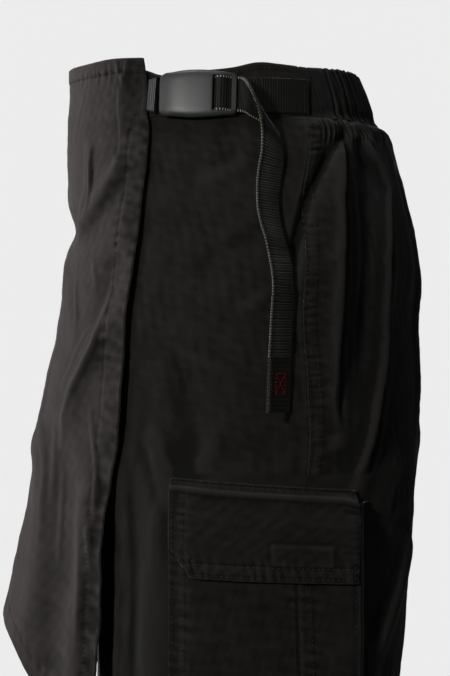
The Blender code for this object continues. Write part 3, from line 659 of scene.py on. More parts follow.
@dataclass(frozen=True)
class WornForm:
    """The shape that the cloth is worn in: one body section that parts into two legs."""

    band_seam: float = -0.032
    crotch: float = -0.295
    hem: float = -0.48
    squareness: float = 0.065
    front_curve: float = 0.105
    back_curve: float = 0.125
    parting_top: float = -0.205
    parting_end: float = -0.35
    leg_front_in: float = 0.013
    leg_side_out: float = 0.0036
    inseam_gap_top: float = 0.0002
    inseam_gap_hem: float = 0.01
    laid_gap: float = 0.0012
    twill: float = 0.0015
    band_proud: float = 0.0006
    seam_gap: float = 0.0003
    band_gathers: int = 26
    seat_gathers: int = 14
    gather_height: float = 0.0016
    gather_end: float = -0.085
    plain_strip: float = 0.12

    @property
    def length(self) -> float:
        """Length of the side seam under the waistband."""
        return self.band_seam - self.hem

    def rounded(self, angle: Array) -> Pair:
        """Sine and cosine of an angle on a slightly squared circle."""
        s, c = np.sin(angle), np.cos(angle)
        return s * (1 + self.squareness * c * c), c * (1 + self.squareness * s * s)

    def torso(self, angle: Array, z: Array) -> Array:
        """Point of the shorts' section round the whole body.

        Args:
            angle: Angles, in radians.
            z: Heights.

        Returns:
            The points.
        """
        side, front, back = (read(SECTIONS, z, name) for name in ("side", "front", "back"))
        s, c = self.rounded(angle)
        return np.stack([side * s, (back - front) / 2 - (back + front) / 2 * c, z + 0 * s], axis=-1)

    def leg(self, angle: Array, z: Array) -> Array:
        """Point of the section round the left leg.

        Args:
            angle: Angles, in radians.
            z: Heights.

        Returns:
            The points.
        """
        side, front, back = (read(SECTIONS, z, name) for name in ("side", "front", "back"))
        front = front - self.leg_front_in * ease(self.parting_top, self.parting_end, z)
        inner = self.inseam_gap_top + self.inseam_gap_hem * ease(self.crotch, self.hem, z)
        s, c = self.rounded(angle)
        x = (side + inner) / 2 + (side - inner) / 2 * s
        return np.stack([x, (back - front) / 2 - (back + front) / 2 * c, z + 0 * s], axis=-1)

    def flat_normal(self, angle: Array, z: Array) -> Array:
        """Level way out of the body's section."""
        along = self.torso(angle + SLOPE_STEP, z) - self.torso(angle - SLOPE_STEP, z)
        return unit(np.stack([along[..., 1], -along[..., 0], 0 * along[..., 0]], axis=-1))

    def gathers(self, count: int, angle: Array, seam: Array) -> Array:
        """Waves of the elastic back, from seam to seam, nought on the plain strips by the seams.

        Args:
            count: How many gathers.
            angle: Angles, in radians.
            seam: The side seam's angle.

        Returns:
            The waves, from -1 to 1.
        """
        share = (angle - seam) / (2 * pi - 2 * seam)
        wave = np.cos(2 * pi * count * (share + 0.004 * np.sin(9 * share)))
        strip = self.plain_strip / 2
        return wave * ease(0.0, strip, share - 0.03) * ease(0.0, strip, 0.97 - share)

    def raised(self, surface: Surface, height: Surface, outward: float) -> Surface:
        """The surface moved out by a height function, and level at its two ends.

        Args:
            surface: The surface function.
            height: The height function.
            outward: 1 or -1, for which side is out.

        Returns:
            The raised surface.
        """

        def moved(u: Array, v: Array) -> Array:
            normal = normals(surface, u, v)
            normal[..., 2] = normal[..., 2] * ease(0.0, 0.04, v) * ease(1.0, 0.96, v)
            return surface(u, v) + outward * height(u, v)[..., None] * normal

        return moved

    def shorts_frame(self, back: bool, u: Array, v: Array) -> tuple[Array, Array, Array, Array]:
        """Places a point of the left leg's panels.

        Args:
            back: Whether it is on the back panel.
            u: Share from the side seam to the centre seam.
            v: Share from the top to the hem.

        Returns:
            Height, angle on the body, angle on the leg, and how far the leg has parted.
        """
        straight = self.band_seam - v * self.length
        curve = self.back_curve if back else self.front_curve
        crotch_share = (self.band_seam - self.crotch) / self.length
        begin = crotch_share - curve / self.length
        turn = np.clip((v - begin) / (crotch_share - begin), 0.0, 1.0) * pi / 2
        in_curve = (v > begin) & (v < crotch_share)
        seam_z = np.where(in_curve, self.crotch + curve * (1 - np.sin(turn)), straight)
        z = straight + (seam_z - straight) * u**3
        soft = ease(self.parting_top, self.parting_end, straight)
        parting = soft + (1 - np.cos(turn) - soft) * u**4
        seam = np.radians(read(SIDE_SEAM, z, "angle"))
        body_end, leg_end = (pi, 1.5 * pi) if back else (0.0, -0.5 * pi)
        return z, seam + u * (body_end - seam), seam + u * (leg_end - seam), parting

    def shorts_place(self, back: bool, u: Array, v: Array) -> Pair:
        """Height and blended angle, in degrees, of a point of the left leg's panels."""
        z, on_body, on_leg, parting = self.shorts_frame(back, u, v)
        return z, np.degrees((1 - parting) * on_body + parting * on_leg)

    def shorts_base(self, back: bool) -> Surface:
        """The left leg's smooth surface.

        Args:
            back: Whether it is the back one.

        Returns:
            The surface function.
        """

        def surface(u: Array, v: Array) -> Array:
            z, on_body, on_leg, parting = self.shorts_frame(back, u, v)
            share = parting[..., None]
            return (1 - share) * self.torso(on_body, z) + share * self.leg(on_leg, z)

        return surface

    def shorts(self, back: bool, rows: Sequence[Fold], under_wrap: bool) -> Surface:
        """The left leg's surface with its main folds and the gathers under the elastic.

        Args:
            back: Whether it is the back one.
            rows: The folds.
            under_wrap: Whether it is pressed in under the wrap's edge.

        Returns:
            The surface function.
        """

        def height(u: Array, v: Array) -> Array:
            z, on_body, on_leg, parting = self.shorts_frame(back, u, v)
            angle = np.degrees((1 - parting) * on_body + parting * on_leg)
            calm = ease(1.0, 0.86, u)
            if under_wrap:
                calm = calm * (ease(0.0, 0.15, u) if back else ease(-0.345, -0.385, z))
            total = fold_height(rows, z, angle) * calm * ease(0.0, 0.04, v)
            if back:
                seam = np.radians(read(SIDE_SEAM, z, "angle"))
                fade = ease(self.gather_end, self.band_seam, z) * ease(1.0, 0.95, u)
                total += self.gather_height * fade * self.gathers(self.seat_gathers, on_body, seam)
            return total

        return self.raised(self.shorts_base(back), height, -1.0 if back else 1.0)

    def shorts_share(self, back: bool, z: Array, angle: Array) -> Pair:
        """Shares across and down a left panel at a height and an angle near its side seam.

        Args:
            back: Whether it is the back one.
            z: Heights.
            angle: Angles, in degrees.

        Returns:
            Both shares.
        """
        v = (self.band_seam - z) / self.length
        way = 1.0 if back else -1.0
        return halved(0.0, 0.9, z, lambda u: way * (self.shorts_place(back, u, v)[1] - angle) > 0), v

    def wrap_angle(self, u: Array, z: Array) -> Array:
        """Angle of a point at a share of the wrap's width."""
        seam = -np.radians(read(SIDE_SEAM, z, "angle"))
        return seam + u * (np.radians(read(WRAP, z, "edge_angle")) - seam)

    def wrap_place(self, u: Array, v: Array) -> Pair:
        """Height and angle, in degrees, of a point of the wrap.

        Args:
            u: Shares across.
            v: Shares down.

        Returns:
            Both, at each share.
        """
        top, hem = wrap_ends(u)
        z = top + v * (hem - top)
        return z, np.degrees(self.wrap_angle(u, z))

    def wrap_share(self, z: Array, angle: Array) -> Pair:
        """Shares across and down the wrap at a height and an angle in degrees.

        Args:
            z: Heights.
            angle: Angles, in degrees.

        Returns:
            Both shares.
        """
        seam = -read(SIDE_SEAM, z, "angle")
        u = (angle - seam) / (read(WRAP, z, "edge_angle") - seam)
        top, hem = wrap_ends(u)
        return u, (top - z) / (top - hem)

    def wrap_base(self, u: Array, v: Array) -> Array:
        """The wrap before its folds: u from the right side seam to the free edge, v down.

        Args:
            u: Shares across.
            v: Shares down.

        Returns:
            The points.
        """
        top, hem = wrap_ends(u)
        z = top + v * (hem - top)
        angle = self.wrap_angle(u, z)
        front = read(WRAP, z, "front") - read(SECTIONS, z, "front")
        edge = read(WRAP, z, "edge_gap")
        seam = self.laid_gap + self.twill + self.band_proud * ease(self.band_seam - 0.01, self.band_seam, z)
        seam = seam + self.leg_side_out * ease(self.parting_top, self.parting_end, z)
        to_edge = ease(0.0, 1.0, angle / np.radians(read(WRAP, z, "edge_angle")))
        to_seam = ease(0.0, 1.0, -angle / np.radians(read(SIDE_SEAM, z, "angle")))
        off = front + (edge - front) * to_edge + (seam - front) * to_seam
        return self.torso(angle, z) + off[..., None] * self.flat_normal(angle, z)

    def wrap(self) -> Surface:
        """The wrap with its main folds, calm at its side seam and its top edge."""

        def height(u: Array, v: Array) -> Array:
            z, angle = self.wrap_place(u, v)
            return fold_height(WRAP_FOLDS, z, angle) * ease(0.0, 0.12, u) * ease(0.02, 0.1, v)

        return self.raised(self.wrap_base, height, -1.0)

    def band(self, back: bool) -> Surface:
        """A waistband: u round the body between the side seams, v from its top edge to its seam.

        Args:
            back: Whether it is the back one.

        Returns:
            The surface function.
        """

        def surface(u: Array, v: Array) -> Array:
            angle, seam = self.band_angle(back, u)
            folded = np.degrees(np.abs((angle + pi) % (2 * pi) - pi))
            top = read(BAND_TOP, folded, "z")
            if not back:
                top = np.where(angle > 0, top, 0.003)
            z = top + v * (self.band_seam + self.seam_gap - top)
            off = self.band_proud + 0 * z
            if back:
                share = (angle - seam) / (2 * pi - 2 * seam)
                worn = ease(0.06, 0.13, share) * ease(0.94, 0.87, share)
                off = off + 0.5 * self.gather_height * worn * self.gathers(self.band_gathers, angle, seam)
            return self.torso(angle, z) + off[..., None] * self.flat_normal(angle, z)

        return surface

    def band_angle(self, back: bool, u: Array) -> tuple[Array, float]:
        """Angle at a share of a waistband's width, and the angle of its side seam.

        Args:
            back: Whether it is the back one.
            u: Shares across.

        Returns:
            Both, in radians.
        """
        seam = float(np.radians(read(SIDE_SEAM, self.band_seam / 2, "angle")))
        start, end = (seam, 2 * pi - seam) if back else (-seam, seam)
        return start + u * (end - start), seam

    def on_side(self, y: Array, z: Array) -> Pair:
        """The left leg's surface and its outward normal where it has this y and this height.

        Args:
            y: Places front to back.
            z: Heights.

        Returns:
            The points and their normals.
        """
        front, back = self.shorts(False, SIDE_FOLDS, False), self.shorts(True, SIDE_FOLDS, False)
        smooth_front, smooth_back = self.shorts_base(False), self.shorts_base(True)
        v = (self.band_seam - z) / self.length

        def split(place: Array) -> Pair:
            return np.abs(np.minimum(place, 0.0)), np.maximum(place, 0.0)

        def too_far(place: Array) -> Array:
            ahead, behind = (part(u, v)[..., 1] for part, u in zip((smooth_front, smooth_back), split(place)))
            return np.where(place < 0, ahead, behind) > y

        middle = halved(-0.75, 0.6, y, too_far)
        is_front = (middle < 0)[..., None]
        u_front, u_back = split(middle)
        point = np.where(is_front, front(u_front, v), back(u_back, v))
        normal = np.where(is_front, normals(front, u_front, v), -normals(back, u_back, v))
        return point, normal

    def on_band(self, y: Array, z: Array, off: float) -> Pair:
        """Point off the left half of the front waistband at a given y, and the way out of it.

        Args:
            y: Places front to back.
            z: Heights.
            off: How far off the waistband.

        Returns:
            Both.
        """
        middle = halved(0.3, 2.4, y, lambda angle: self.torso(angle, z)[..., 1] > y)
        flat = self.flat_normal(middle, z)
        return self.torso(middle, z) + (self.band_proud + off) * flat, flat


# ---------------------------------------------------------------- shader nodes


class Value:
    """A socket's value, so that shader maths reads as arithmetic."""

    def __init__(self, graph: Graph, socket: NodeSocket) -> None:
        """Wraps a socket of a graph."""
        self.graph = graph
        self.socket = socket

    def maths(self, operation: str, *others: Value | float) -> Value:
        """This value and others through a Math node."""
        inputs = dict(enumerate((self, *others)))
        return self.graph.node("ShaderNodeMath", {"operation": operation}, inputs)["Value"]

    def __add__(self, other: Value | float) -> Value:
        """Sum."""
        return self.maths("ADD", other)

    def __sub__(self, other: Value | float) -> Value:
        """Difference."""
        return self.maths("SUBTRACT", other)

    def __rsub__(self, other: float) -> Value:
        """A number less this."""
        return (self * -1.0).maths("ADD", other)

    def __mul__(self, other: Value | float) -> Value:
        """Product."""
        return self.maths("MULTIPLY", other)

    __radd__ = __add__
    __rmul__ = __mul__

    def sine(self) -> Value:
        """Sine of this."""
        return self.maths("SINE")

    def within(self, low: float, high: float) -> Value:
        """This, kept between two numbers."""
        return self.maths("MAXIMUM", low).maths("MINIMUM", high)


class Graph:
    """A material's node tree."""

    def __init__(self, name: str) -> None:
        """Starts a material with an empty tree and its output."""
        self.material = bpy.data.materials.new(name)
        self.material.use_nodes = True
        self.tree = self.material.node_tree
        self.tree.nodes.clear()
        self.output = self.tree.nodes.new("ShaderNodeOutputMaterial")

    def node(self, kind: str, settings: dict[str, Any], inputs: dict[int | str, Any]) -> dict[str, Value]:
        """Adds a node.

        Args:
            kind: The node's type.
            settings: Its properties, set first.
            inputs: Numbers, colours or values for its sockets.

        Returns:
            Its outputs by name.
        """
        made = self.tree.nodes.new(kind)
        for key, setting in settings.items():
            setattr(made, key, setting)
        for key, given in inputs.items():
            if isinstance(given, Value):
                self.tree.links.new(given.socket, made.inputs[key])
            else:
                made.inputs[key].default_value = given
        return {socket.name: Value(self, socket) for socket in reversed(made.outputs) if socket.enabled}

    def attribute(self, name: str) -> Value:
        """A number that the mesh carries at each point."""
        return self.node("ShaderNodeAttribute", {"attribute_name": name}, {})["Fac"]

    def cloth_uv(self) -> tuple[Value, Value, Value]:
        """Place on the cloth, in metres: as a vector, across and down."""
        place = self.node("ShaderNodeUVMap", {"uv_map": "cloth"}, {})["UV"]
        parts = self.node("ShaderNodeSeparateXYZ", {}, {0: place})
        return place, parts["X"], parts["Y"]

    def object_place(self) -> Value:
        """Place in the object's own space, in metres."""
        return self.node("ShaderNodeTexCoord", {}, {})["Object"]

    def stretched(self, vector: Value, factors: Colour) -> Value:
        """A vector times a number each way."""
        inputs = {0: vector, 1: factors}
        return self.node("ShaderNodeVectorMath", {"operation": "MULTIPLY"}, inputs)["Vector"]

    def noise(self, vector: Value, scale: float, detail: float = 2.0) -> Value:
        """Cloudy noise from 0 to 1."""
        inputs = {"Vector": vector, "Scale": scale, "Detail": detail}
        outputs = self.node("ShaderNodeTexNoise", {}, inputs)
        return outputs.get("Fac") or outputs["Factor"]

    def colour(self, factor: Value, low: Colour, high: Colour) -> Value:
        """A colour between two, by a factor."""
        inputs = {0: factor, 6: (*low, 1.0), 7: (*high, 1.0)}
        return self.node("ShaderNodeMix", {"data_type": "RGBA"}, inputs)["Result"]

    def bump(self, height: Value, distance: float, strength: float) -> Value:
        """A normal that follows a height."""
        inputs = {"Strength": strength, "Distance": distance, "Height": height}
        return self.node("ShaderNodeBump", {}, inputs)["Normal"]

    def surface(self, inputs: dict[int | str, Any]) -> Material:
        """Finishes the tree with one Principled shader."""
        shader = self.node("ShaderNodeBsdfPrincipled", {}, inputs)["BSDF"]
        self.tree.links.new(shader.socket, self.output.inputs["Surface"])
        return self.material


@dataclass(frozen=True)
class TwillFinish:
    """Garment-washed black cotton twill, a little lighter on crests and edges, partly from wear and partly as
    painted highlight, and darker in hollows as painted shade.
    """

    name: str = "washed_twill"
    deep: Colour = (0.012, 0.0109, 0.0102)
    washed: Colour = (0.043, 0.0392, 0.0372)
    rib_pitch: float = 0.00062
    cloud: float = 16.0
    mottle: float = 260.0
    # How much the crest tone paints crests lighter and hollows darker: partly wear, partly painted highlight
    # and painted shade.
    wear_and_shading: float = 0.62

    def make(self) -> Material:
        """Builds the material."""
        graph = Graph(self.name)
        place, across, down = graph.cloth_uv()
        ribs = ((across * 0.76 + down * 0.65) * (2 * pi / self.rib_pitch)).sine()
        slubs = graph.noise(graph.stretched(place, (620.0, 1900.0, 1.0)), 1.0, 2.0)
        cloud = graph.noise(place, self.cloud, 4.0)
        mottle = graph.noise(place, self.mottle, 3.0)
        crest = graph.attribute("crest")
        # The crest term paints hollows darker, a painted shade, and crests and free edges lighter, partly
        # wear and partly painted highlight.
        shade = 0.35 + (cloud - 0.5) * 0.6 + (mottle - 0.5) * 0.5 + (slubs - 0.5) * 0.6 + crest * self.wear_and_shading
        tone = graph.colour(shade.within(0.0, 1.0), self.deep, self.washed)
        weave = ribs * 0.22 + slubs * 0.9 + mottle * 0.5
        return graph.surface({
            "Base Color": tone,
            "Roughness": 0.8 + mottle * 0.16,
            "Specular IOR Level": 0.22,
            "Sheen Weight": 0.32,
            "Sheen Roughness": 0.45,
            "Normal": graph.bump(weave, 0.00022, 0.8),
        })


@dataclass(frozen=True)
class WebbingFinish:
    """Ribbed polyester webbing with a low sheen."""

    name: str = "ribbed_webbing"
    deep: Colour = (0.009, 0.009, 0.0072)
    # The light colour is far lighter than black webbing's own: painted light that stands for the light on the
    # hanging tail, whose face is turned away from the lamps.
    high: Colour = (0.72, 0.73, 0.61)

    def make(self) -> Material:
        """Builds the material."""
        graph = Graph(self.name)
        place, across, _ = graph.cloth_uv()
        crest = graph.attribute("crest")
        yarn = (across * (2 * pi / 0.0011)).sine()
        fuzz = graph.noise(place, 900.0, 2.0)
        shade = 0.46 + crest * 0.9 + (fuzz - 0.5) * 0.25 + yarn * 0.05
        return graph.surface({
            "Base Color": graph.colour(shade.within(0.0, 1.0), self.deep, self.high),
            "Roughness": 0.5 + fuzz * 0.16,
            "Specular IOR Level": 0.4,
            "Sheen Weight": 0.5,
            "Sheen Roughness": 0.35,
            "Normal": graph.bump(yarn * 0.3 + fuzz, 0.00014, 0.8),
        })


@dataclass(frozen=True)
class PlasticFinish:
    """Moulded plastic with a fine spark-eroded grain."""

    name: str = "grained_plastic"
    deep: Colour = (0.052, 0.059, 0.058)
    high: Colour = (0.108, 0.118, 0.116)
    grain: float = 1500.0

    def make(self) -> Material:
        """Builds the material."""
        graph = Graph(self.name)
        place = graph.object_place()
        grain = graph.noise(place, self.grain, 2.0)
        cloud = graph.noise(place, 90.0, 3.0)
        shade = 0.45 + (grain - 0.5) * 0.9 + (cloud - 0.5) * 0.4
        return graph.surface({
            "Base Color": graph.colour(shade.within(0.0, 1.0), self.deep, self.high),
            "Roughness": 0.34 + grain * 0.12,
            "Specular IOR Level": 0.9,
            "Normal": graph.bump(grain, 0.0001, 0.55),
        })


@dataclass(frozen=True)
class ThreadFinish:
    """Sewing thread, with light and dark along its twist."""

    name: str = "sewing_thread"
    deep: Colour = (0.022, 0.02, 0.018)
    high: Colour = (0.062, 0.057, 0.052)

    def make(self) -> Material:
        """Builds the material."""
        graph = Graph(self.name)
        place = graph.object_place()
        twist = graph.noise(place, 700.0, 2.0)
        patch = graph.noise(place, 30.0, 2.0)
        shade = ((twist - 0.5) * 0.8 + patch).within(0.0, 1.0)
        return graph.surface({
            "Base Color": graph.colour(shade, self.deep, self.high),
            "Roughness": 0.52 + twist * 0.15,
            "Specular IOR Level": 0.35,
            "Normal": graph.bump(twist, 0.00008, 0.5),
        })


@dataclass(frozen=True)
class LabelFinish:
    """Tightly woven black label tape."""

    name: str = "label_weave"
    deep: Colour = (0.038, 0.04, 0.036)
    high: Colour = (0.115, 0.119, 0.108)

    def make(self) -> Material:
        """Builds the material."""
        graph = Graph(self.name)
        place, across, down = graph.cloth_uv()
        threads = (down * (2 * pi / 0.0007)).sine() * 0.3 + (across * (2 * pi / 0.0009)).sine() * 0.2
        fuzz = graph.noise(place, 1100.0, 2.0)
        shade = 0.35 + (fuzz - 0.5) * 0.6 + threads * 0.2 + graph.attribute("crest") * 0.5
        return graph.surface({
            "Base Color": graph.colour(shade.within(0.0, 1.0), self.deep, self.high),
            "Roughness": 0.66 + fuzz * 0.12,
            "Specular IOR Level": 0.3,
            "Normal": graph.bump(threads + fuzz, 0.0001, 0.7),
        })


@dataclass(frozen=True)
class StudioFinish:
    """Pale seamless paper that shows an even tone."""

    name: str = "studio_paper"
    glow: float = 0.836
    tone: float = 0.06

    def make(self) -> Material:
        """Builds the material."""
        graph = Graph(self.name)
        grain = graph.noise(graph.object_place(), 3.0, 1.0)
        shade = graph.colour(grain, (self.tone,) * 3, (self.tone * 1.05,) * 3)
        return graph.surface({
            "Base Color": shade,
            "Roughness": 1.0,
            "Specular IOR Level": 0.0,
            "Emission Color": (1.0, 1.0, 1.0, 1.0),
            "Emission Strength": self.glow,
        })


# ---------------------------------------------------------------- meshes


class Edge(Enum):
    """The four edges of a cloth grid."""

    TOP = "top"
    BOTTOM = "bottom"
    START = "start"
    END = "end"


def placed(name: str, data: bpy.types.ID) -> Object:
    """An object with this data, linked to the scene."""
    obj = bpy.data.objects.new(name, data)
    bpy.context.scene.collection.objects.link(obj)
    return obj


def mesh_object(name: str, points: Array, faces: Array, finish: Material,
                uv: Array | None = None, crest: Array | None = None) -> Object:
    """Makes an object from points and four-sided faces.

    Args:
        name: The object's name.
        points: Its points.
        faces: Point numbers of each face.
        finish: Its material.
        uv: Place on the cloth of each point, in metres.
        crest: How far each point stands over the cloth round it, from about -1 to 1.

    Returns:
        The object, linked to the scene.
    """
    mesh = bpy.data.meshes.new(name)
    mesh.from_pydata(points.tolist(), [], faces.tolist())
    if uv is not None:
        loops = np.zeros(len(mesh.loops), np.int32)
        mesh.loops.foreach_get("vertex_index", loops)
        mesh.uv_layers.new(name="cloth").data.foreach_set("uv", uv[loops].ravel().astype(np.float32))
    if crest is not None:
        mesh.attributes.new("crest", "FLOAT", "POINT").data.foreach_set("value", crest.astype(np.float32))
    mesh.shade_smooth()
    mesh.set_sharp_from_angle(angle=np.radians(60.0))
    mesh.materials.append(finish)
    mesh.update()
    return placed(name, mesh)


def settle(obj: Object, slot: str, *nodes: str) -> Object:
    """Ties a finished piece to the frame and reports it.

    Args:
        obj: The piece.
        slot: Not used.
        nodes: The solids it stands for.

    Returns:
        The piece.
    """
    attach(obj, BODY)
    if nodes:
        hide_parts(*nodes)
    triangles = sum(len(face.vertices) - 2 for face in obj.data.polygons)
    LOG.info("%s: %d triangles", obj.name, triangles)
    return obj


@dataclass
class Cloth:
    """A grid of cloth: its outer points and outward normals by shares across and down."""

    across: Array
    down: Array
    points: Array
    normals: Array

    @classmethod
    def on(cls, surface: Surface, across: Array, down: Array, outward: float, relief: Surface,
           mirror: bool = False) -> Cloth:
        """Lays cloth on a surface.

        Args:
            surface: The surface's function.
            across: Shares across.
            down: Shares down.
            outward: 1 where the function's normals point out of the body, -1 where they point in.
            relief: How far the cloth stands out from the surface.
            mirror: Whether it is the other side's.

        Returns:
            The cloth.
        """
        u, v = np.meshgrid(across, down)
        normal = normals(surface, u, v) * outward
        return cls.moved_out(across, down, surface(u, v), normal, relief(u, v), mirror)

    @classmethod
    def moved_out(cls, across: Array, down: Array, base: Array, normal: Array, height: Array,
                  mirror: bool = False) -> Cloth:
        """Cloth at a height over base points with their normals.

        Args:
            across: Shares across.
            down: Shares down.
            base: The base points.
            normal: Their normals.
            height: The heights.
            mirror: Whether it is mirrored to the other side.

        Returns:
            The cloth.
        """
        points = base + height[..., None] * normal
        fine = unit(np.cross(np.gradient(points, axis=1), np.gradient(points, axis=0)))
        fine = fine * np.sign((fine * normal).sum(axis=-1, keepdims=True))
        if mirror:
            points, fine = points * (-1, 1, 1), fine * (-1, 1, 1)
        return cls(across, down, points, fine)

    def at(self, u: Array, v: Array) -> Pair:
        """Point and normal of the cloth at shares across and down.

        Args:
            u: Shares across.
            v: Shares down.

        Returns:
            Both, at each place.
        """
        i = np.clip(np.searchsorted(self.down, v) - 1, 0, len(self.down) - 2)
        j = np.clip(np.searchsorted(self.across, u) - 1, 0, len(self.across) - 2)
        t = np.clip((v - self.down[i]) / (self.down[i + 1] - self.down[i]), 0, 1)[..., None]
        s = np.clip((u - self.across[j]) / (self.across[j + 1] - self.across[j]), 0, 1)[..., None]

        def blend(grid: Array) -> Array:
            upper = (1 - s) * grid[i, j] + s * grid[i, j + 1]
            lower = (1 - s) * grid[i + 1, j] + s * grid[i + 1, j + 1]
            return (1 - t) * upper + t * lower

        return blend(self.points), unit(blend(self.normals))

    def numbers(self) -> Pair:
        """Numbers of the points as a grid, and of those round its rim."""
        number = np.arange(self.points[..., 0].size).reshape(self.points.shape[:2])
        return number, np.concatenate([number[0, :-1], number[:-1, -1], number[-1, :0:-1], number[:0:-1, 0]])

    def crest(self, scale: float) -> Array:
        """How far each point stands over the mean of the cloth round it.

        Args:
            scale: The height that counts as a full crest.

        Returns:
            Values from -1 to 1.
        """
        padded = np.pad(self.points, ((3, 3), (3, 3), (0, 0)), mode="reflect", reflect_type="odd")
        rows, columns = self.points.shape[:2]
        total = np.zeros_like(self.points)
        for i, j in ((0, 3), (6, 3), (3, 0), (3, 6), (1, 1), (1, 5), (5, 1), (5, 5)):
            total += padded[i:i + rows, j:j + columns]
        height = ((self.points - total / 8) * self.normals).sum(axis=-1)
        return np.clip(height / scale, -1.0, 1.0)

    def wall(self, name: str, thickness: float, finish: Material, rounded: Sequence[Edge] = (),
             wear_and_shading: float = 0.3, scale: float = 0.0004, level_ends: bool = True) -> Object:
        """Makes the cloth a closed wall.

        Args:
            name: The object's name.
            thickness: The wall's thickness, inwards.
            finish: Its material.
            rounded: The free edges, which are round.
            wear_and_shading: How much lighter the free edges are, partly wear and partly painted highlight.
            scale: Height that counts as a full crest.
            level_ends: Whether the wall's top and bottom are cut level.

        Returns:
            The object.
        """
        rows, columns = self.points.shape[:2]
        inward = self.normals.copy()
        if level_ends:
            inward[[0, -1], :, 2] = 0.0
            inward = unit(inward)
        inner = self.points - thickness * inward
        number, rim = self.numbers()
        quads = np.stack([number[:-1, :-1], number[:-1, 1:], number[1:, 1:], number[1:, :-1]], axis=-1)
        quads = quads.reshape(-1, 4)
        inside = np.concatenate([number[1, :-1], number[:-1, -2], number[-2, :0:-1], number[:0:-1, 1]])
        counts = ((Edge.TOP, columns - 1), (Edge.END, rows - 1), (Edge.BOTTOM, columns - 1),
                  (Edge.START, rows - 1))
        bulge = np.concatenate([np.full(count, 0.38 * thickness if edge in rounded else 0.0)
                                for edge, count in counts])
        outer_flat, inner_flat = self.points.reshape(-1, 3), inner.reshape(-1, 3)
        away = unit(outer_flat[rim] - outer_flat[inside])
        middle = (outer_flat[rim] + inner_flat[rim]) / 2 + bulge[:, None] * away
        step, second = rows * columns, 2 * rows * columns
        after = np.roll(rim, -1)
        here_m, next_m = second + np.arange(len(rim)), second + np.roll(np.arange(len(rim)), -1)
        faces = np.concatenate([
            quads, quads[:, ::-1] + step,
            np.stack([after, rim, here_m, next_m], axis=-1),
            np.stack([next_m, here_m, rim + step, after + step], axis=-1),
        ])
        du, dv = np.gradient(self.points, axis=1), np.gradient(self.points, axis=0)
        if (np.cross(du, dv) * self.normals).sum() < 0:
            faces = faces[:, ::-1]
        steps_wide = np.linalg.norm(np.diff(self.points, axis=1), axis=-1)
        steps_tall = np.linalg.norm(np.diff(self.points, axis=0), axis=-1)
        wide = np.cumsum(np.pad(steps_wide, ((0, 0), (1, 0))), axis=1)
        tall = np.cumsum(np.pad(steps_tall, ((1, 0), (0, 0))), axis=0)
        uv = np.stack([wide, tall], axis=-1).reshape(-1, 2)
        crest = self.crest(scale)
        # Rounded free edges are painted lighter: partly wear, partly painted highlight.
        lines = {Edge.TOP: crest[0], Edge.BOTTOM: crest[-1], Edge.START: crest[:, 0], Edge.END: crest[:, -1]}
        for edge, line in lines.items():
            if edge in rounded:
                line += wear_and_shading
        crest = crest.reshape(-1)
        points = np.concatenate([outer_flat, inner_flat, middle])
        return mesh_object(name, points, faces, finish, np.concatenate([uv, uv + 0.37, uv[rim]]),
                           np.concatenate([crest, -crest * 0.5, crest[rim]]))


@dataclass(frozen=True)
class SewnRow:
    """The puckers and the groove that a row of stitches draws into the cloth."""

    seed: float
    pitch: float = 0.007
    height: float = 0.00032
    reach: float = 0.0045
    groove: float = 0.0003
    groove_width: float = 0.0012

    def relief(self, distance: Array, along: Array) -> Array:
        """Height of the cloth beside the row, by distance from it and length along it.

        Args:
            distance: Distances from its line.
            along: Lengths along it.

        Returns:
            The heights, in metres.
        """
        wander = 1.5 * np.sin(2 * pi * along / (5.3 * self.pitch) + self.seed)
        wander = wander + 0.9 * np.sin(2 * pi * along / (2.3 * self.pitch) + 2.1 * self.seed)
        strength = 0.65 + 0.35 * np.sin(2 * pi * along / (7.7 * self.pitch) + 3.3 * self.seed)
        wave = np.sin(2 * pi * along / self.pitch + wander + 0.6 * distance / self.reach)
        pucker = self.height * strength * wave * np.exp(-np.abs(distance) / self.reach)
        return pucker - self.groove * ridge(distance, self.groove_width)


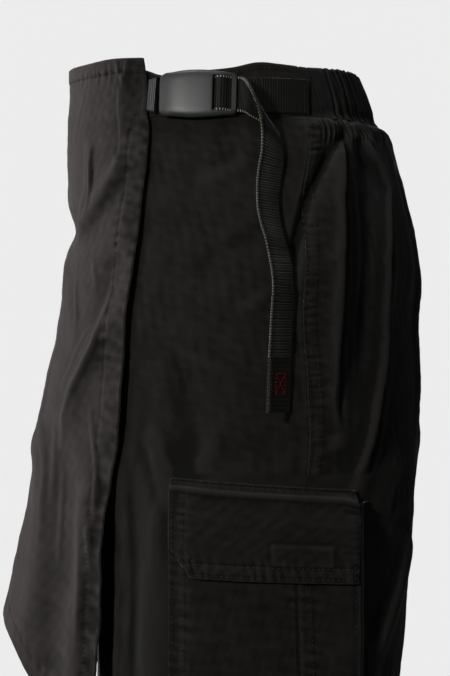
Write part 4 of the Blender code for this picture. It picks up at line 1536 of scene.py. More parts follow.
@dataclass
class Stitching:
    """Rows of separate stitches that become one piece of thread."""

    stitch: float = 0.0026
    gap: float = 0.0009
    half_width: float = 0.0003
    half_height: float = 0.00022
    sides: int = 6
    points: list[Array] = field(default_factory=list)
    faces: list[Array] = field(default_factory=list)
    count: int = 0

    def sew(self, line: Array, normal: Array, thick: float = 1.0) -> None:
        """Sews a row along a line of points with their normals.

        Args:
            line: The points.
            normal: Which way is out there.
            thick: How thick the thread is, as a share.
        """
        length = np.concatenate([[0.0], np.cumsum(np.linalg.norm(np.diff(line, axis=0), axis=-1))])
        number = int(length[-1] / (self.stitch + self.gap))
        if number < 1:
            return
        starts = (np.arange(number) + 0.1) * length[-1] / number
        shares = np.array([0.0, 0.12, 0.5, 0.88, 1.0])
        place = starts[:, None] + shares * self.stitch

        def along(values: Array) -> Array:
            return np.stack([np.interp(place, length, values[:, k]) for k in range(3)], axis=-1)

        up = unit(along(normal))
        lift = np.array([-0.6, 0.35, 0.9, 0.35, -0.6]) * self.half_height * thick
        self.tubes(along(line) + lift[:, None] * up, up, np.array([0.45, 0.9, 1.0, 0.9, 0.45]) * thick)

    def row(self, cloth: Cloth, u: Array | float, v: Array | float, thick: float = 1.0) -> None:
        """Sews a row over cloth, through shares across and down of which one may stay the same."""
        self.sew(*cloth.at(*np.broadcast_arrays(u, v)), thick)

    def lines(self, starts: Array, ends: Array, normal: Array, thick: float = 1.0) -> None:
        """Sews one straight stitch from each start to its end.

        Args:
            starts: Where the stitches start.
            ends: Where they end.
            normal: Which way is out there.
            thick: How thick the thread is, as a share.
        """
        shares = np.array([0.0, 0.15, 0.5, 0.85, 1.0])[:, None]
        run = starts[:, None, :] * (1 - shares) + ends[:, None, :] * shares
        up = np.repeat(normal[:, None, :], 5, axis=1)
        lift = np.array([-0.5, 0.5, 1.1, 0.5, -0.5]) * self.half_height * thick
        self.tubes(run + lift[:, None] * up, up, np.array([0.5, 0.9, 1.0, 0.9, 0.5]) * thick)

    def tubes(self, middle: Array, up: Array, size: Array) -> None:
        """Adds a small round tube along each row of middle points.

        Args:
            middle: The rows of points.
            up: Which way is out at each.
            size: The thread's size along a row, as shares of its full size.
        """
        ahead = unit(np.gradient(middle, axis=1))
        side = unit(np.cross(ahead, up))
        turn = 2 * pi * np.arange(self.sides) / self.sides
        ring = (self.half_width * np.cos(turn))[:, None] * side[:, :, None, :]
        ring = ring + (self.half_height * np.sin(turn))[:, None] * up[:, :, None, :]
        points = middle[:, :, None, :] + size[None, :, None, None] * ring
        number, rows = points.shape[:2]
        first = np.arange(number)[:, None, None] * rows * self.sides + self.count
        row = np.arange(rows - 1)[None, :, None] * self.sides
        k = np.arange(self.sides)[None, None, :]
        after = (k + 1) % self.sides
        a, b = first + row + k, first + row + after
        quads = np.stack([a, b, b + self.sides, a + self.sides], axis=-1).reshape(-1, 4)
        head = self.count + np.arange(number) * rows * self.sides
        tail = head + (rows - 1) * self.sides
        caps = [np.stack([head + i for i in order], axis=-1) for order in ((0, 5, 4, 3), (0, 3, 2, 1))]
        caps += [np.stack([tail + i for i in order], axis=-1) for order in ((0, 1, 2, 3), (0, 3, 4, 5))]
        self.points.append(points.reshape(-1, 3))
        self.faces.extend([quads, *caps])
        self.count += number * rows * self.sides

    def piece(self, name: str, slot: str, finish: Material) -> Object:
        """All the rows as one settled piece."""
        obj = mesh_object(name, np.concatenate(self.points), np.concatenate(self.faces), finish)
        return settle(obj, slot)


def seam_trim(surface: Surface, shares: Array, gap: float, at_start: bool, at_end: bool) -> Array:
    """Shares across a panel, trimmed by half the seam gap at its sewn edges.

    Args:
        surface: The surface function.
        shares: The shares.
        gap: The gap at a seam.
        at_start: Whether the first edge is sewn.
        at_end: Whether the last edge is sewn.

    Returns:
        The trimmed shares.
    """
    probe = 0.01
    first, inside = surface(np.array([0.0, probe]), np.full(2, 0.5))
    last, before = surface(np.array([1.0, 1 - probe]), np.full(2, 0.5))
    low = gap / 2 * probe / np.linalg.norm(inside - first) if at_start else 0.0
    high = 1 - (gap / 2 * probe / np.linalg.norm(last - before) if at_end else 0.0)
    return low + shares * (high - low)


# ---------------------------------------------------------------- garment


@dataclass
class Finishes:
    """The materials, each made once."""

    twill: Material = field(default_factory=lambda: TwillFinish().make())
    webbing: Material = field(default_factory=lambda: WebbingFinish().make())
    plastic: Material = field(default_factory=lambda: PlasticFinish().make())
    thread: Material = field(default_factory=lambda: ThreadFinish().make())
    label: Material = field(default_factory=lambda: LabelFinish().make())
    red_thread: Material = field(default_factory=lambda: ThreadFinish(
        name="red_thread", deep=(0.34, 0.008, 0.022), high=(0.62, 0.02, 0.05)).make())
    selvedge: Material = field(default_factory=lambda: ThreadFinish(
        name="selvedge", deep=(0.05, 0.051, 0.043), high=(0.15, 0.153, 0.13)).make())


class Side(Enum):
    """The garment's two sides."""

    LEFT = "left"
    RIGHT = "right"


@dataclass
class Shorts:
    """The four panels of the shorts."""

    form: WornForm
    finishes: Finishes
    fell: float = 0.0095
    hem_turn: float = 0.02
    pocket_top: float = -0.286
    pocket_angles: tuple[float, float] = (61.0, 141.0)
    side_radius: float = 0.165
    under_wrap: float = 0.0105
    other_height: float = 0.85
    other_drop: float = 0.012
    other_turn: float = 4.0
    seam_row: float = 0.0016
    waist_row: float = 0.0065
    centre_row: float = 0.968
    sheet_sizes: dict[bool, tuple[float, float, float]] = field(default_factory=lambda: {
        False: (0.33, 0.47, 0.125), True: (0.38, 0.49, 0.145)})

    def folds(self, side: Side) -> tuple[Fold, ...]:
        """Main folds of a side; the right one's are alike, a little apart and not as strong.

        Args:
            side: Which side.

        Returns:
            The folds.
        """
        if side is Side.LEFT:
            return SIDE_FOLDS
        return tuple(
            Fold(f.name, f.width, f.height * self.other_height,
                 tuple((z - self.other_drop, angle + self.other_turn) for z, angle in f.path))
            for f in SIDE_FOLDS
        )

    def relief(self, back: bool, side: Side) -> Surface:
        """Fine creases, puckered seams and turned hem of a panel.

        Args:
            back: Whether it is the back one.
            side: Which side.

        Returns:
            The height function.
        """
        rows = [SewnRow(seed, height=0.00045, groove=0.00045) for seed in (1.0, 2.3, 4.1)]

        def height(u: Array, v: Array) -> Array:
            z, angle = self.form.shorts_place(back, u, v)
            from_seam = np.radians(angle - read(SIDE_SEAM, z, "angle")) * self.side_radius
            along, round_leg = -z, np.radians(angle) * BODY_RADIUS
            total = 0.00035 * ripples(z, round_leg, 0.034, 3 + back)
            total += 0.00012 * ripples(z, round_leg, 0.009, 8)
            total += fold_height(SIDE_CREASES, z, angle, tapered=True)
            if back:
                total += pleat_height(SEAT_PLEATS, z, angle) * (0.8 if side is Side.RIGHT else 1.0)
            near = ease(0.06, 0.03, np.abs(from_seam))
            total += near * rows[0].relief(from_seam - self.seam_row, along)
            if not back:
                total -= 0.0007 * ease(-0.0032, -0.0004, from_seam)
                if side is Side.LEFT:
                    total -= self.under_wrap * ease(58.0, 44.0, angle) * ease(-0.265, -0.345, z)
            if back:
                total += 0.0007 * ease(self.fell + 0.002, self.fell + 0.0006, from_seam)
                total += near * rows[1].relief(from_seam - self.fell, along)
                between = ease(-0.001, 0.002, from_seam) * ease(self.fell + 0.006, self.fell, from_seam)
                uneven = 0.65 + 0.35 * np.sin(along / 0.0083 + 1.0)
                wrinkles = np.sin(2 * pi * along / 0.0046 + 2.4 * np.sin(along / 0.011))
                total += 0.00055 * uneven * between * wrinkles
                under = ease(-0.054, -0.04, z) * ease(0.05, 0.1, u)
                total += 0.0013 * under * np.sin(2 * pi * 38 * u + 1.5 * np.sin(31 * u) + 40 * (z + 0.04))
                total += 0.0006 * ease(-0.04, -0.0385, z)
            total += rows[2].relief(z - self.form.hem - self.hem_turn, round_leg) * ease(-0.43, -0.44, z)
            if side is Side.LEFT:
                total = total * (1 - self.under_pocket(z, angle))
            return total * ease(0.0, 0.012, v) * ease(1.0, 0.96, u)

        return height

    def under_pocket(self, z: Array, angle: Array) -> Array:
        """How far a point lies under the pocket, from 0 to 1.

        Args:
            z: Heights.
            angle: Angles, in degrees.

        Returns:
            The shares.
        """
        first, last = self.pocket_angles
        over = ease(self.pocket_top + 0.004, self.pocket_top, z) * ease(first - 3, first, angle)
        return over * ease(last + 3, last, angle) * ease(-0.456, -0.45, z)

    def grid(self, back: bool, side: Side) -> Pair:
        """Shares across and down a panel, closest together where the camera sees it.

        Args:
            back: Whether it is the back one.
            side: Which side.

        Returns:
            Both rows of shares.
        """
        if side is Side.LEFT:
            down = stations((0.06, 18), (0.6, 118), (0.94, 66), (1.0, 16))
            if back:
                return stations((0.12, 26), (0.62, 68), (1.0, 30)), down
            return stations((0.12, 24), (0.66, 70), (1.0, 20)), down
        if back:
            return stations((0.12, 20), (1.0, 70)), stations((0.06, 14), (0.94, 110), (1.0, 10))
        return stations((0.12, 10), (1.0, 44)), stations((0.94, 80), (1.0, 8))

    def stitch(self, cloth: Cloth, back: bool, side: Side, thread: Stitching) -> None:
        """Sews a panel's side seam, hem and centre seam.

        Args:
            cloth: The cloth sewn on.
            back: Whether it is the back one.
            side: Which side.
            thread: The stitches to add to.
        """
        spans = ((-0.0335, -0.289), (-0.4515, -0.478)) if side is Side.LEFT else ((-0.0335, -0.478),)
        for top, bottom in spans if back else ():
            z = np.linspace(top, bottom, 500)
            for off in (self.seam_row, self.fell):
                angle = read(SIDE_SEAM, z, "angle") + np.degrees(off / self.side_radius)
                thread.row(cloth, *self.form.shorts_share(True, z, angle))
        u = np.linspace(cloth.across[0] + 0.004, cloth.across[-1] - 0.004, 400)
        thread.row(cloth, u, 1 - self.hem_turn / self.form.length)
        if back:
            thread.row(cloth, np.linspace(0.008, 0.985, 400), self.waist_row / self.form.length)
            thread.row(cloth, self.centre_row, np.linspace(0.006, 0.5, 400))

    def build(self) -> None:
        """Makes and dresses the four panels."""
        for side in Side:
            for back in (False, True):
                surface = self.form.shorts(back, self.folds(side), side is Side.RIGHT)
                shares, down = self.grid(back, side)
                shares = seam_trim(surface, shares, self.form.seam_gap, True, True)
                mirror = side is Side.RIGHT
                outward = -1.0 if back else 1.0
                cloth = Cloth.on(surface, shares, down, outward, self.relief(back, side), mirror)
                node = f"shorts_{'back' if back else 'front'}_{side.value}"
                obj = cloth.wall(f"{node}_cloth", self.form.twill, self.finishes.twill, (Edge.BOTTOM,))
                settle(obj, "twill", node)
                thread = Stitching()
                self.stitch(cloth, back, side, thread)
                sewn = thread.piece(f"{node}_stitching", "twill", self.finishes.thread)


@dataclass
class Waistbands:
    """The flat front band and the gathered elastic back band."""

    form: WornForm
    finishes: Finishes
    thickness: float = 0.0022
    top_row: float = 0.003
    height: float = 0.035
    side_rows: tuple[float, ...] = (0.0045, 0.036, 0.964, 0.9955)
    pinches: int = 55
    pinch_depth: float = 0.0025

    def relief(self, back: bool) -> Surface:
        """Fine unevenness, and sharper pinches between the gathers of the elastic.

        Args:
            back: Whether it is the back one.

        Returns:
            The height function.
        """

        def height(u: Array, v: Array) -> Array:
            angle, seam = self.form.band_angle(back, u)
            round_body = angle * BODY_RADIUS
            total = 0.00022 * ripples(v * 0.036, round_body, 0.016, 21 + back)
            if back:
                share = (angle - seam) / (2 * pi - 2 * seam)
                worn = ease(0.088, 0.1, share) * ease(0.912, 0.9, share)
                uneven = 0.45 * np.sin(23 * share) + 0.3 * np.sin(61 * share + 1.4 * v)
                turn = 2 * pi * (self.pinches * share + uneven)
                deep = 0.7 + 0.3 * np.sin(57 * share + 3 * v)
                total -= worn * deep * self.pinch_depth * (0.5 + 0.5 * np.cos(turn)) ** 2.2
                total += 0.0004 * worn - 0.0006 * ridge(share - 0.031, 0.0022)
            else:
                total += SewnRow(2.0, height=0.00015).relief(v * self.height - self.top_row, round_body)
            return total * ease(0.0, 0.03, u) * ease(1.0, 0.97, u)

        return height

    def build(self) -> None:
        """Makes and dresses the two bands."""
        for back in (False, True):
            surface = self.form.band(back)
            shares = stations((1.0, 460 if back else 230))
            shares = seam_trim(surface, shares, self.form.seam_gap, True, True)
            cloth = Cloth.on(surface, shares, np.linspace(0, 1, 19), -1.0, self.relief(back))
            node = "waistband_back" if back else "waistband_front"
            obj = cloth.wall(f"{node}_cloth", self.thickness, self.finishes.twill, (Edge.TOP,), scale=0.0006)
            settle(obj, "twill", node)
            thread = Stitching()
            if back:
                for share in self.side_rows:
                    thread.row(cloth, share, np.linspace(0.05, 0.97, 90))
            else:
                thread.row(cloth, np.linspace(0.006, 0.994, 700), self.top_row / self.height)
            sewn = thread.piece(f"{node}_stitching", "twill", self.finishes.thread)


@dataclass
class Wrap:
    """The wrap-over front panel with its turned edges and slanted hem."""

    form: WornForm
    finishes: Finishes
    top_turn: float = 0.0095
    hem_turn: float = 0.013
    seam_rows: tuple[float, float] = (0.0045, 0.024)
    cut: tuple[float, float, float] = (0.5, 0.53, 0.19)

    def edge_distance(self, z: Array, angle: Array) -> Array:
        """Distance from the free edge."""
        radius = 0.113 + 0.06 * ease(-0.05, -0.45, z)
        return np.radians(read(WRAP, z, "edge_angle") - angle) * radius

    def relief(self, u: Array, v: Array) -> Array:
        """Fine creases, the puckered facing and the turned edges.

        Args:
            u: Shares across.
            v: Shares down.

        Returns:
            The heights, in metres.
        """
        z, angle = self.form.wrap_place(u, v)
        round_body = np.radians(angle) * 0.14
        top, hem = wrap_ends(u)
        total = 0.0005 * ripples(z, round_body, 0.04, 11) + 0.00016 * ripples(z, round_body, 0.011, 12)
        total += fold_height(WRAP_CREASES, z, angle, tapered=True)
        distance, along, share = path_place(FACING_LINE, z, angle, FACING_RADIUS)
        facing = SewnRow(1.7, pitch=0.0095, height=0.00045, reach=0.005, groove=0.0003)
        low, begun = ease(-0.18, -0.3, z), ease(0.0, 0.04, share)
        near = (1.0 - 0.5 * low) * ease(0.05, 0.02, np.abs(distance))
        total += begun * facing.relief(distance, along) * near
        crinkle = ripples(z + 0.35 * distance, 0.42 * distance, 0.0068, 17) * ease(-0.003, 0.004, distance)
        total += begun * (0.0003 + 0.00008 * low) * crinkle
        total += begun * 0.00025 * ease(-0.001, 0.0015, distance)
        beside, _, passed = path_place(FACING_FOLD, z, angle, FACING_RADIUS)
        within = ease(0.0, 0.1, passed) * ease(1.0, 0.8, passed) * ease(0.016, 0.004, beside)
        total += 0.00055 * ease(-0.001, 0.0012, beside) * within
        from_edge = self.edge_distance(z, angle)
        edge = SewnRow(3.1, pitch=0.011, height=0.00045, reach=0.005, groove=0.0)
        total += edge.relief(from_edge, -z) * ease(0.02, 0.0, from_edge)
        total += 0.0005 * low * np.sin(2 * pi * -z / 0.031 + 1.2) * ease(0.016, 0.0, from_edge)
        turned = SewnRow(4.4, pitch=0.0075, height=0.0004, reach=0.0045, groove=0.0004)
        total += turned.relief((top - z) - self.top_turn, round_body) * ease(0.03, 0.015, top - z)
        total += 0.0005 * ease(self.top_turn + 0.001, self.top_turn - 0.001, top - z)
        hemmed = SewnRow(5.9, pitch=0.01, height=0.00045, reach=0.006, groove=0.00035)
        total += hemmed.relief((z - hem) - self.hem_turn, round_body) * ease(0.035, 0.02, z - hem)
        return total * ease(0.0, 0.02, u)

    def stitch(self, cloth: Cloth, thread: Stitching) -> None:
        """Sews the facing, the turned top and hem, the side seam and the belt's bar tacks.

        Args:
            cloth: The cloth sewn on.
            thread: The stitches to add to.
        """
        line = np.array(FACING_LINE)
        z = np.linspace(line[0, 0], line[-1, 0], 900)
        angle = np.interp(-z, -line[:, 0], line[:, 1])
        thread.row(cloth, *self.form.wrap_share(z, angle))
        u = np.linspace(0.006, 0.9955, 900)
        top, hem = wrap_ends(u)
        thread.row(cloth, u, self.top_turn / (top - hem))
        thread.row(cloth, u, 1 - self.hem_turn / (top - hem))
        for share in self.seam_rows:
            thread.row(cloth, share, np.linspace(0.006, 0.994, 700))
        z = np.linspace(-0.005, -0.033, 30)
        side = np.where(np.arange(30) % 2 == 0, -0.95, 0.95)
        points, out = cloth.at(*self.form.wrap_share(z, 62.0 - 1.3 * ease(-0.005, -0.033, z) + side))
        thread.lines(points[:-1], points[1:], out[:-1], 1.0)

    def build(self) -> None:
        """Makes and dresses the panel."""
        surface = self.form.wrap()
        shares = stations((0.03, 6), (0.5, 52), (0.8, 62), (0.88, 28), (1.0, 46))
        shares = seam_trim(surface, shares, self.form.seam_gap, True, False)
        down = stations((0.035, 16), (0.45, 106), (0.96, 106), (1.0, 10))
        cloth = Cloth.on(surface, shares, down, -1.0, self.relief)
        free = (Edge.TOP, Edge.END, Edge.BOTTOM)
        obj = cloth.wall("wrap_panel_cloth", self.form.twill, self.finishes.twill, free, wear_and_shading=0.45)
        settle(obj, "twill", "wrap_panel")
        thread = Stitching()
        self.stitch(cloth, thread)
        sewn = thread.piece("wrap_panel_stitching", "twill", self.finishes.thread)


@dataclass
class CargoPocket:
    """The pocket bag with its bellows edge, and the flap with its clipped corner."""

    form: WornForm
    finishes: Finishes
    front: float = -0.032
    back: float = 0.104
    mouth: float = -0.2935
    bottom: float = -0.45
    rise: float = 0.003
    gusset_rise: float = 0.0085
    edge_gap: float = 0.0007
    flap_top: float = -0.2855
    flap_bottom: float = -0.3575
    flap_front: float = -0.0315
    flap_back_top: float = 0.0955
    flap_back_bottom: float = 0.0925
    top_sag: tuple[float, float] = (-0.0015, -0.0085)
    bottom_sag: tuple[float, float] = (0.003, -0.0045)
    flap_corner: float = 0.016
    flap_clear: float = 0.0013
    bag_seam: float = 0.0545

    def sagged(self, y: Array, z: Array) -> Array:
        """Height of a point of the pocket, which hangs a little lower towards the back.

        Args:
            y: Places front to back.
            z: Heights.

        Returns:
            The heights.
        """
        across = np.clip((y - self.flap_front) / (self.flap_back_top - self.flap_front), 0.0, 1.0)
        top = self.top_sag[0] + self.top_sag[1] * across
        bottom = self.bottom_sag[0] + self.bottom_sag[1] * across
        share = ease(self.flap_top, self.flap_bottom, z)
        return z + (top + (bottom - top) * share) * ease(self.bottom, self.flap_bottom, z)

    def bag_gap(self, y: Array, z: Array) -> Array:
        """How far the bag's inner face stands off the leg.

        Args:
            y: Places front to back.
            z: Heights.

        Returns:
            The gaps, in metres.
        """
        front = ease(self.front + 0.002, self.front + 0.014, y)
        back = ease(self.back - 0.001, self.back - 0.009, y)
        bottom = ease(self.bottom + 0.001, self.bottom + 0.012, z)
        mouth = 1 - 0.5 * ease(self.mouth - 0.02, self.mouth, z)
        gusset = (self.gusset_rise - self.rise) * ease(0.06, self.back - 0.009, y)
        spread = front * back * bottom
        base = self.edge_gap + (self.form.laid_gap - self.edge_gap) * spread
        return base + (self.rise + gusset) * spread * mouth

    def flap_gap(self, y: Array, z: Array) -> Array:
        """How far the flap's inner face stands off the leg: just over the bag.

        Args:
            y: Places front to back.
            z: Heights.

        Returns:
            The gaps, in metres.
        """
        over = self.bag_gap(np.minimum(y, self.back - 0.009), np.minimum(z, self.mouth))
        over = over + self.form.twill + self.form.seam_gap + self.flap_clear
        return self.edge_gap + (over - self.edge_gap) * ease(self.flap_top - 0.001, self.mouth + 0.001, z)

    def bag_relief(self, y: Array, z: Array) -> Array:
        """Puckered edge rows, the seam down the bag and soft creases.

        Args:
            y: Places front to back.
            z: Heights.

        Returns:
            The heights, in metres.
        """
        total = 0.0004 * ripples(y, z, 0.036, 31) + 0.00012 * ripples(y, z, 0.01, 32)
        rows = [SewnRow(seed, pitch=0.0075, height=0.00045) for seed in (0.7, 1.9, 3.3, 4.6, 5.5)]
        total += rows[0].relief(y - self.front - 0.0015, z) + rows[1].relief(y - self.front - 0.0105, z)
        total += 0.0006 * ease(self.front + 0.012, self.front + 0.01, y)
        seam = y - self.bag_seam + (z + 0.36) * 0.03
        total += rows[2].relief(seam, z) - 0.0005 * ridge(seam, 0.0012)
        total += rows[3].relief(seam - 0.0095, z)
        total += 0.0004 * ease(0.0, 0.001, seam) * ease(0.0105, 0.0095, seam)
        total += rows[4].relief(z - self.bottom - 0.0095, y)
        return total + 0.0007 * ridge(y - self.back + 0.0098, 0.0011)

    def flap_relief(self, y: Array, z: Array) -> Array:
        """Turned edges, double row along the bottom, and the fastener that shows through.

        Args:
            y: Places front to back.
            z: Heights.

        Returns:
            The heights, in metres.
        """
        total = 0.0003 * ripples(y, z, 0.03, 41) + 0.00012 * ripples(y, z, 0.009, 42)
        rows = [SewnRow(seed, pitch=0.007, height=0.00038) for seed in (0.4, 1.1, 2.9, 3.7, 5.1)]
        total += rows[0].relief(z - self.flap_top + 0.0022, y)
        total -= 0.0009 * ridge(z - self.flap_top + 0.0046, 0.0011)
        total += 0.0008 * ridge(z - self.flap_top + 0.0078, 0.0018)
        total += rows[1].relief(z - self.flap_bottom - 0.0022, y)
        total += rows[2].relief(z - self.flap_bottom - 0.0097, y)
        total += 0.0005 * ease(self.flap_bottom + 0.0105, self.flap_bottom + 0.0095, z)
        total += rows[3].relief(y - self.flap_front - 0.0098, z)
        total += 0.0004 * ease(self.flap_front + 0.0108, self.flap_front + 0.0098, y)
        total += rows[4].relief(y - self.flap_back_top + 0.003, z)
        inside = ease(0.036, 0.0385, y) * ease(0.079, 0.0765, y)
        inside = inside * ease(-0.3292, -0.331, z) * ease(-0.348, -0.3465, z)
        return total + 0.0008 * inside

    def patch(self, y: Array, z: Array, height: Array, across: Array, down: Array) -> Cloth:
        """Cloth laid on the leg at a height over it."""
        base, normal = self.form.on_side(y, self.sagged(y, z))
        return Cloth.moved_out(across, down, base, normal, height + self.form.twill)

    def build_bag(self) -> None:
        """Makes and dresses the bag."""
        across = stations((0.12, 16), (0.56, 40), (0.72, 22), (0.92, 22), (1.0, 14))
        down = stations((0.92, 76), (1.0, 12))
        y = self.front + across[None, :] * (self.back - self.front) + 0 * down[:, None]
        z = self.mouth + down[:, None] * (self.bottom - self.mouth) + 0 * across[None, :]
        cloth = self.patch(y, z, self.bag_gap(y, z) + self.bag_relief(y, z), across, down)
        obj = cloth.wall("pocket_bag_cloth", self.form.twill, self.finishes.twill,
                         (Edge.START, Edge.END, Edge.BOTTOM), level_ends=False)
        settle(obj, "twill", "pocket_bag")
        thread = Stitching()
        width = self.back - self.front
        v = np.linspace(0.02, 0.99, 400)
        for off in (0.0016, 0.0105, width - 0.0115):
            thread.row(cloth, off / width, v)
        z_at = self.mouth + v * (self.bottom - self.mouth)
        for off in (0.0014, 0.0095):
            thread.row(cloth, (self.bag_seam - (z_at + 0.36) * 0.03 + off - self.front) / width, v)
        u = np.linspace(0.01, 0.99, 400)
        for off in (0.0018, 0.0095):
            thread.row(cloth, u, 1 - off / (self.mouth - self.bottom))
        sewn = thread.piece("pocket_bag_stitching", "twill", self.finishes.thread)

    def build_flap(self) -> None:
        """Makes and dresses the flap."""
        across = stations((0.1, 14), (0.5, 34), (0.84, 34), (1.0, 16))
        down = stations((0.16, 16), (0.78, 34), (1.0, 16))
        u, v = np.meshgrid(across, down)
        back_edge = self.flap_back_top + v * (self.flap_back_bottom - self.flap_back_top)
        front_edge = self.flap_front + self.flap_corner * np.clip((v - 0.7) / 0.3, 0, 1)
        y = front_edge + u * (back_edge - front_edge)
        z = self.flap_top + v * (self.flap_bottom - self.flap_top)
        z = z - 0.0006 * np.sin(pi * np.clip((y + 0.02) / 0.12, 0, 1)) * v
        cloth = self.patch(y, z, self.flap_gap(y, z) + self.flap_relief(y, z), across, down)
        obj = cloth.wall("pocket_flap_cloth", self.form.twill, self.finishes.twill,
                         (Edge.TOP, Edge.START, Edge.END, Edge.BOTTOM), wear_and_shading=0.6, level_ends=False)
        settle(obj, "twill", "pocket_flap")
        thread = Stitching()
        height = self.flap_top - self.flap_bottom
        thread.row(cloth, np.linspace(0.01, 0.99, 400), 0.0022 / height, 1.25)
        for off in (0.0022, 0.0097):
            thread.row(cloth, np.linspace(0.03, 0.985, 400), 1 - off / height, 1.15)
        width = self.flap_back_top - self.flap_front
        for share, end in ((0.0018 / width, 0.985), (0.0098 / width, 0.86), (1 - 0.0022 / width, 0.985)):
            thread.row(cloth, share, np.linspace(0.1, end, 200))
        sewn = thread.piece("pocket_flap_stitching", "twill", self.finishes.thread)

    def build(self) -> None:
        """Makes the bag, then the flap over it."""
        self.build_bag()
        self.build_flap()


@dataclass
class Buckle:
    """The side-release buckle: cover with its opening, bar and ribbed tongue."""

    form: WornForm
    finishes: Finishes
    place_y: float = -0.0124
    lift: float = 0.0009
    tilt: float = float(np.radians(9.0))
    strap_middle: float = -0.0172
    half_length: float = 0.0275
    depth: float = 0.008
    curve: float = 0.22
    opening: tuple[float, float] = (0.011, 0.0244)
    opening_half: float = 0.013
    bar_along: float = 0.0156
    bar_out: float = 0.0036
    bar_radius: float = 0.0015
    tongue_y: float = -0.0432
    tongue_length: float = 0.0062
    tongue_depth: float = 0.005

    def place(self, y: float) -> Matrix:
        """A placing on the waistband: X out of the cloth, Y along the belt, Z up."""
        point, flat = self.form.on_band(np.array(y), np.array(self.strap_middle), self.lift)
        yaw = float(np.arctan2(flat[1], flat[0]))
        turn = Matrix.Rotation(yaw, 4, "Z") @ Matrix.Rotation(-self.tilt, 4, "Y")
        return Matrix.Translation(Vector(point)) @ turn

    def ring(self, along: float) -> list[Vector]:
        """The cover's outline at one place along it: flat back, round shoulders, crowned front.

        Args:
            along: The place along it.

        Returns:
            The outline's points.
        """
        half = float(read(FRAME_STATIONS, along, "half_height"))
        deep = self.depth * (1 - (along / self.half_length) ** 4 * 0.35)
        back = -along**2 / (2 * self.curve)
        turn = np.linspace(-pi / 2, pi / 2, 25)
        power = 0.32
        up = np.sign(np.sin(turn)) * np.abs(np.sin(turn)) ** power * half
        out = np.abs(np.cos(turn)) ** power * deep * 0.985 + 0.0002 * (1 - (up / half) ** 2)
        squeeze = 1 - 0.06 * np.clip(1 - out / (0.25 * deep), 0, 1)
        points = [Vector((back + o, along, u * s)) for o, u, s in zip(out, up, squeeze)]
        points[0].x = points[-1].x = back
        return points

    def solid(self, name: str, rings: list[list[Vector]]) -> Object:
        """A closed loft through rings of equal counts.

        Args:
            name: The piece's name.
            rings: The rings.

        Returns:
            The solid.
        """
        made = bmesh.new()
        loops = [[made.verts.new(point) for point in ring] for ring in rings]
        count = len(loops[0])
        for first, second in zip(loops[:-1], loops[1:]):
            for i in range(count):
                made.faces.new((first[i], first[(i + 1) % count], second[(i + 1) % count], second[i]))
        made.faces.new(loops[0])
        made.faces.new(loops[-1])
        bmesh.ops.recalc_face_normals(made, faces=made.faces)
        mesh = bpy.data.meshes.new(name)
        made.to_mesh(mesh)
        made.free()
        return placed(name, mesh)

    def box(self, low: Colour, high: Colour) -> Object:
        """A box that only cuts."""
        outline = ((low[0], low[2]), (high[0], low[2]), (high[0], high[2]), (low[0], high[2]))
        return self.solid("cutter", [[Vector((x, y, z)) for x, z in outline] for y in (low[1], high[1])])

    def finished(self, obj: Object, name: str, place: Matrix, cutters: Sequence[Object],
                 bevel: float) -> Object:
        """Cuts, bevels and places a solid, and applies all of it to its mesh.

        Args:
            obj: The solid.
            name: The piece's name.
            place: Its placing on the waistband.
            cutters: What is cut out of it.
            bevel: The width of its rounded edges.

        Returns:
            The finished piece.
        """
        for cutter in cutters:
            cut = obj.modifiers.new("cut", "BOOLEAN")
            cut.operation, cut.solver, cut.object = "DIFFERENCE", "EXACT", cutter
        if bevel > 0:
            edge = obj.modifiers.new("edge", "BEVEL")
            edge.width, edge.segments = bevel, 2
            edge.limit_method, edge.angle_limit = "ANGLE", np.radians(38.0)
        graph = bpy.context.evaluated_depsgraph_get()
        mesh = bpy.data.meshes.new_from_object(obj.evaluated_get(graph))
        for old in (obj, *cutters):
            bpy.data.objects.remove(old, do_unlink=True)
        mesh.transform(place)
        mesh.name = name
        mesh.materials.clear()
        mesh.materials.append(self.finishes.plastic)
        mesh.shade_smooth()
        mesh.set_sharp_from_angle(angle=np.radians(38.0))
        return placed(name, mesh)

    def build_cover(self, place: Matrix) -> None:
        """Makes the cover with its opening and the way in under its rim.

        Args:
            place: Its placing on the waistband.
        """
        reach = self.half_length
        end = 0.93 * reach
        along = np.concatenate([np.linspace(-reach, -end, 5), np.linspace(-end, end, 30)[1:],
                                np.linspace(end, reach, 5)[1:]])
        cover = self.solid("cover", [self.ring(float(a)) for a in along])
        wide = self.opening_half
        cutters = (
            self.box((-0.004, self.opening[0], -wide), (0.012, self.opening[1], wide)),
            self.box((-0.004, self.opening[1] - 0.001, -wide), (0.0024, reach + 0.002, wide)),
        )
        settle(self.finished(cover, "buckle_cover", place, cutters, 0.0005), "buckle_plastic", "buckle_frame")

    def build_bar(self, place: Matrix) -> None:
        """Makes the bar with a round boss at each end.

        Args:
            place: Its placing on the waistband.
        """
        half = self.opening_half - self.form.seam_gap
        profile = ((-half, 1.18), (-half + 0.0022, 1.18), (-half + 0.0026, 1.0), (half - 0.0026, 1.0),
                   (half - 0.0022, 1.18), (half, 1.18))
        turn = np.linspace(0, 2 * pi, 20, endpoint=False)
        rings = [[Vector((self.bar_out + self.bar_radius * size * np.cos(t),
                          self.bar_along + self.bar_radius * size * np.sin(t), up)) for t in turn]
                 for up, size in profile]
        bar = self.finished(self.solid("bar", rings), "buckle_bar_round", place, (), 0.0002)
        settle(bar, "buckle_plastic", "buckle_bar")

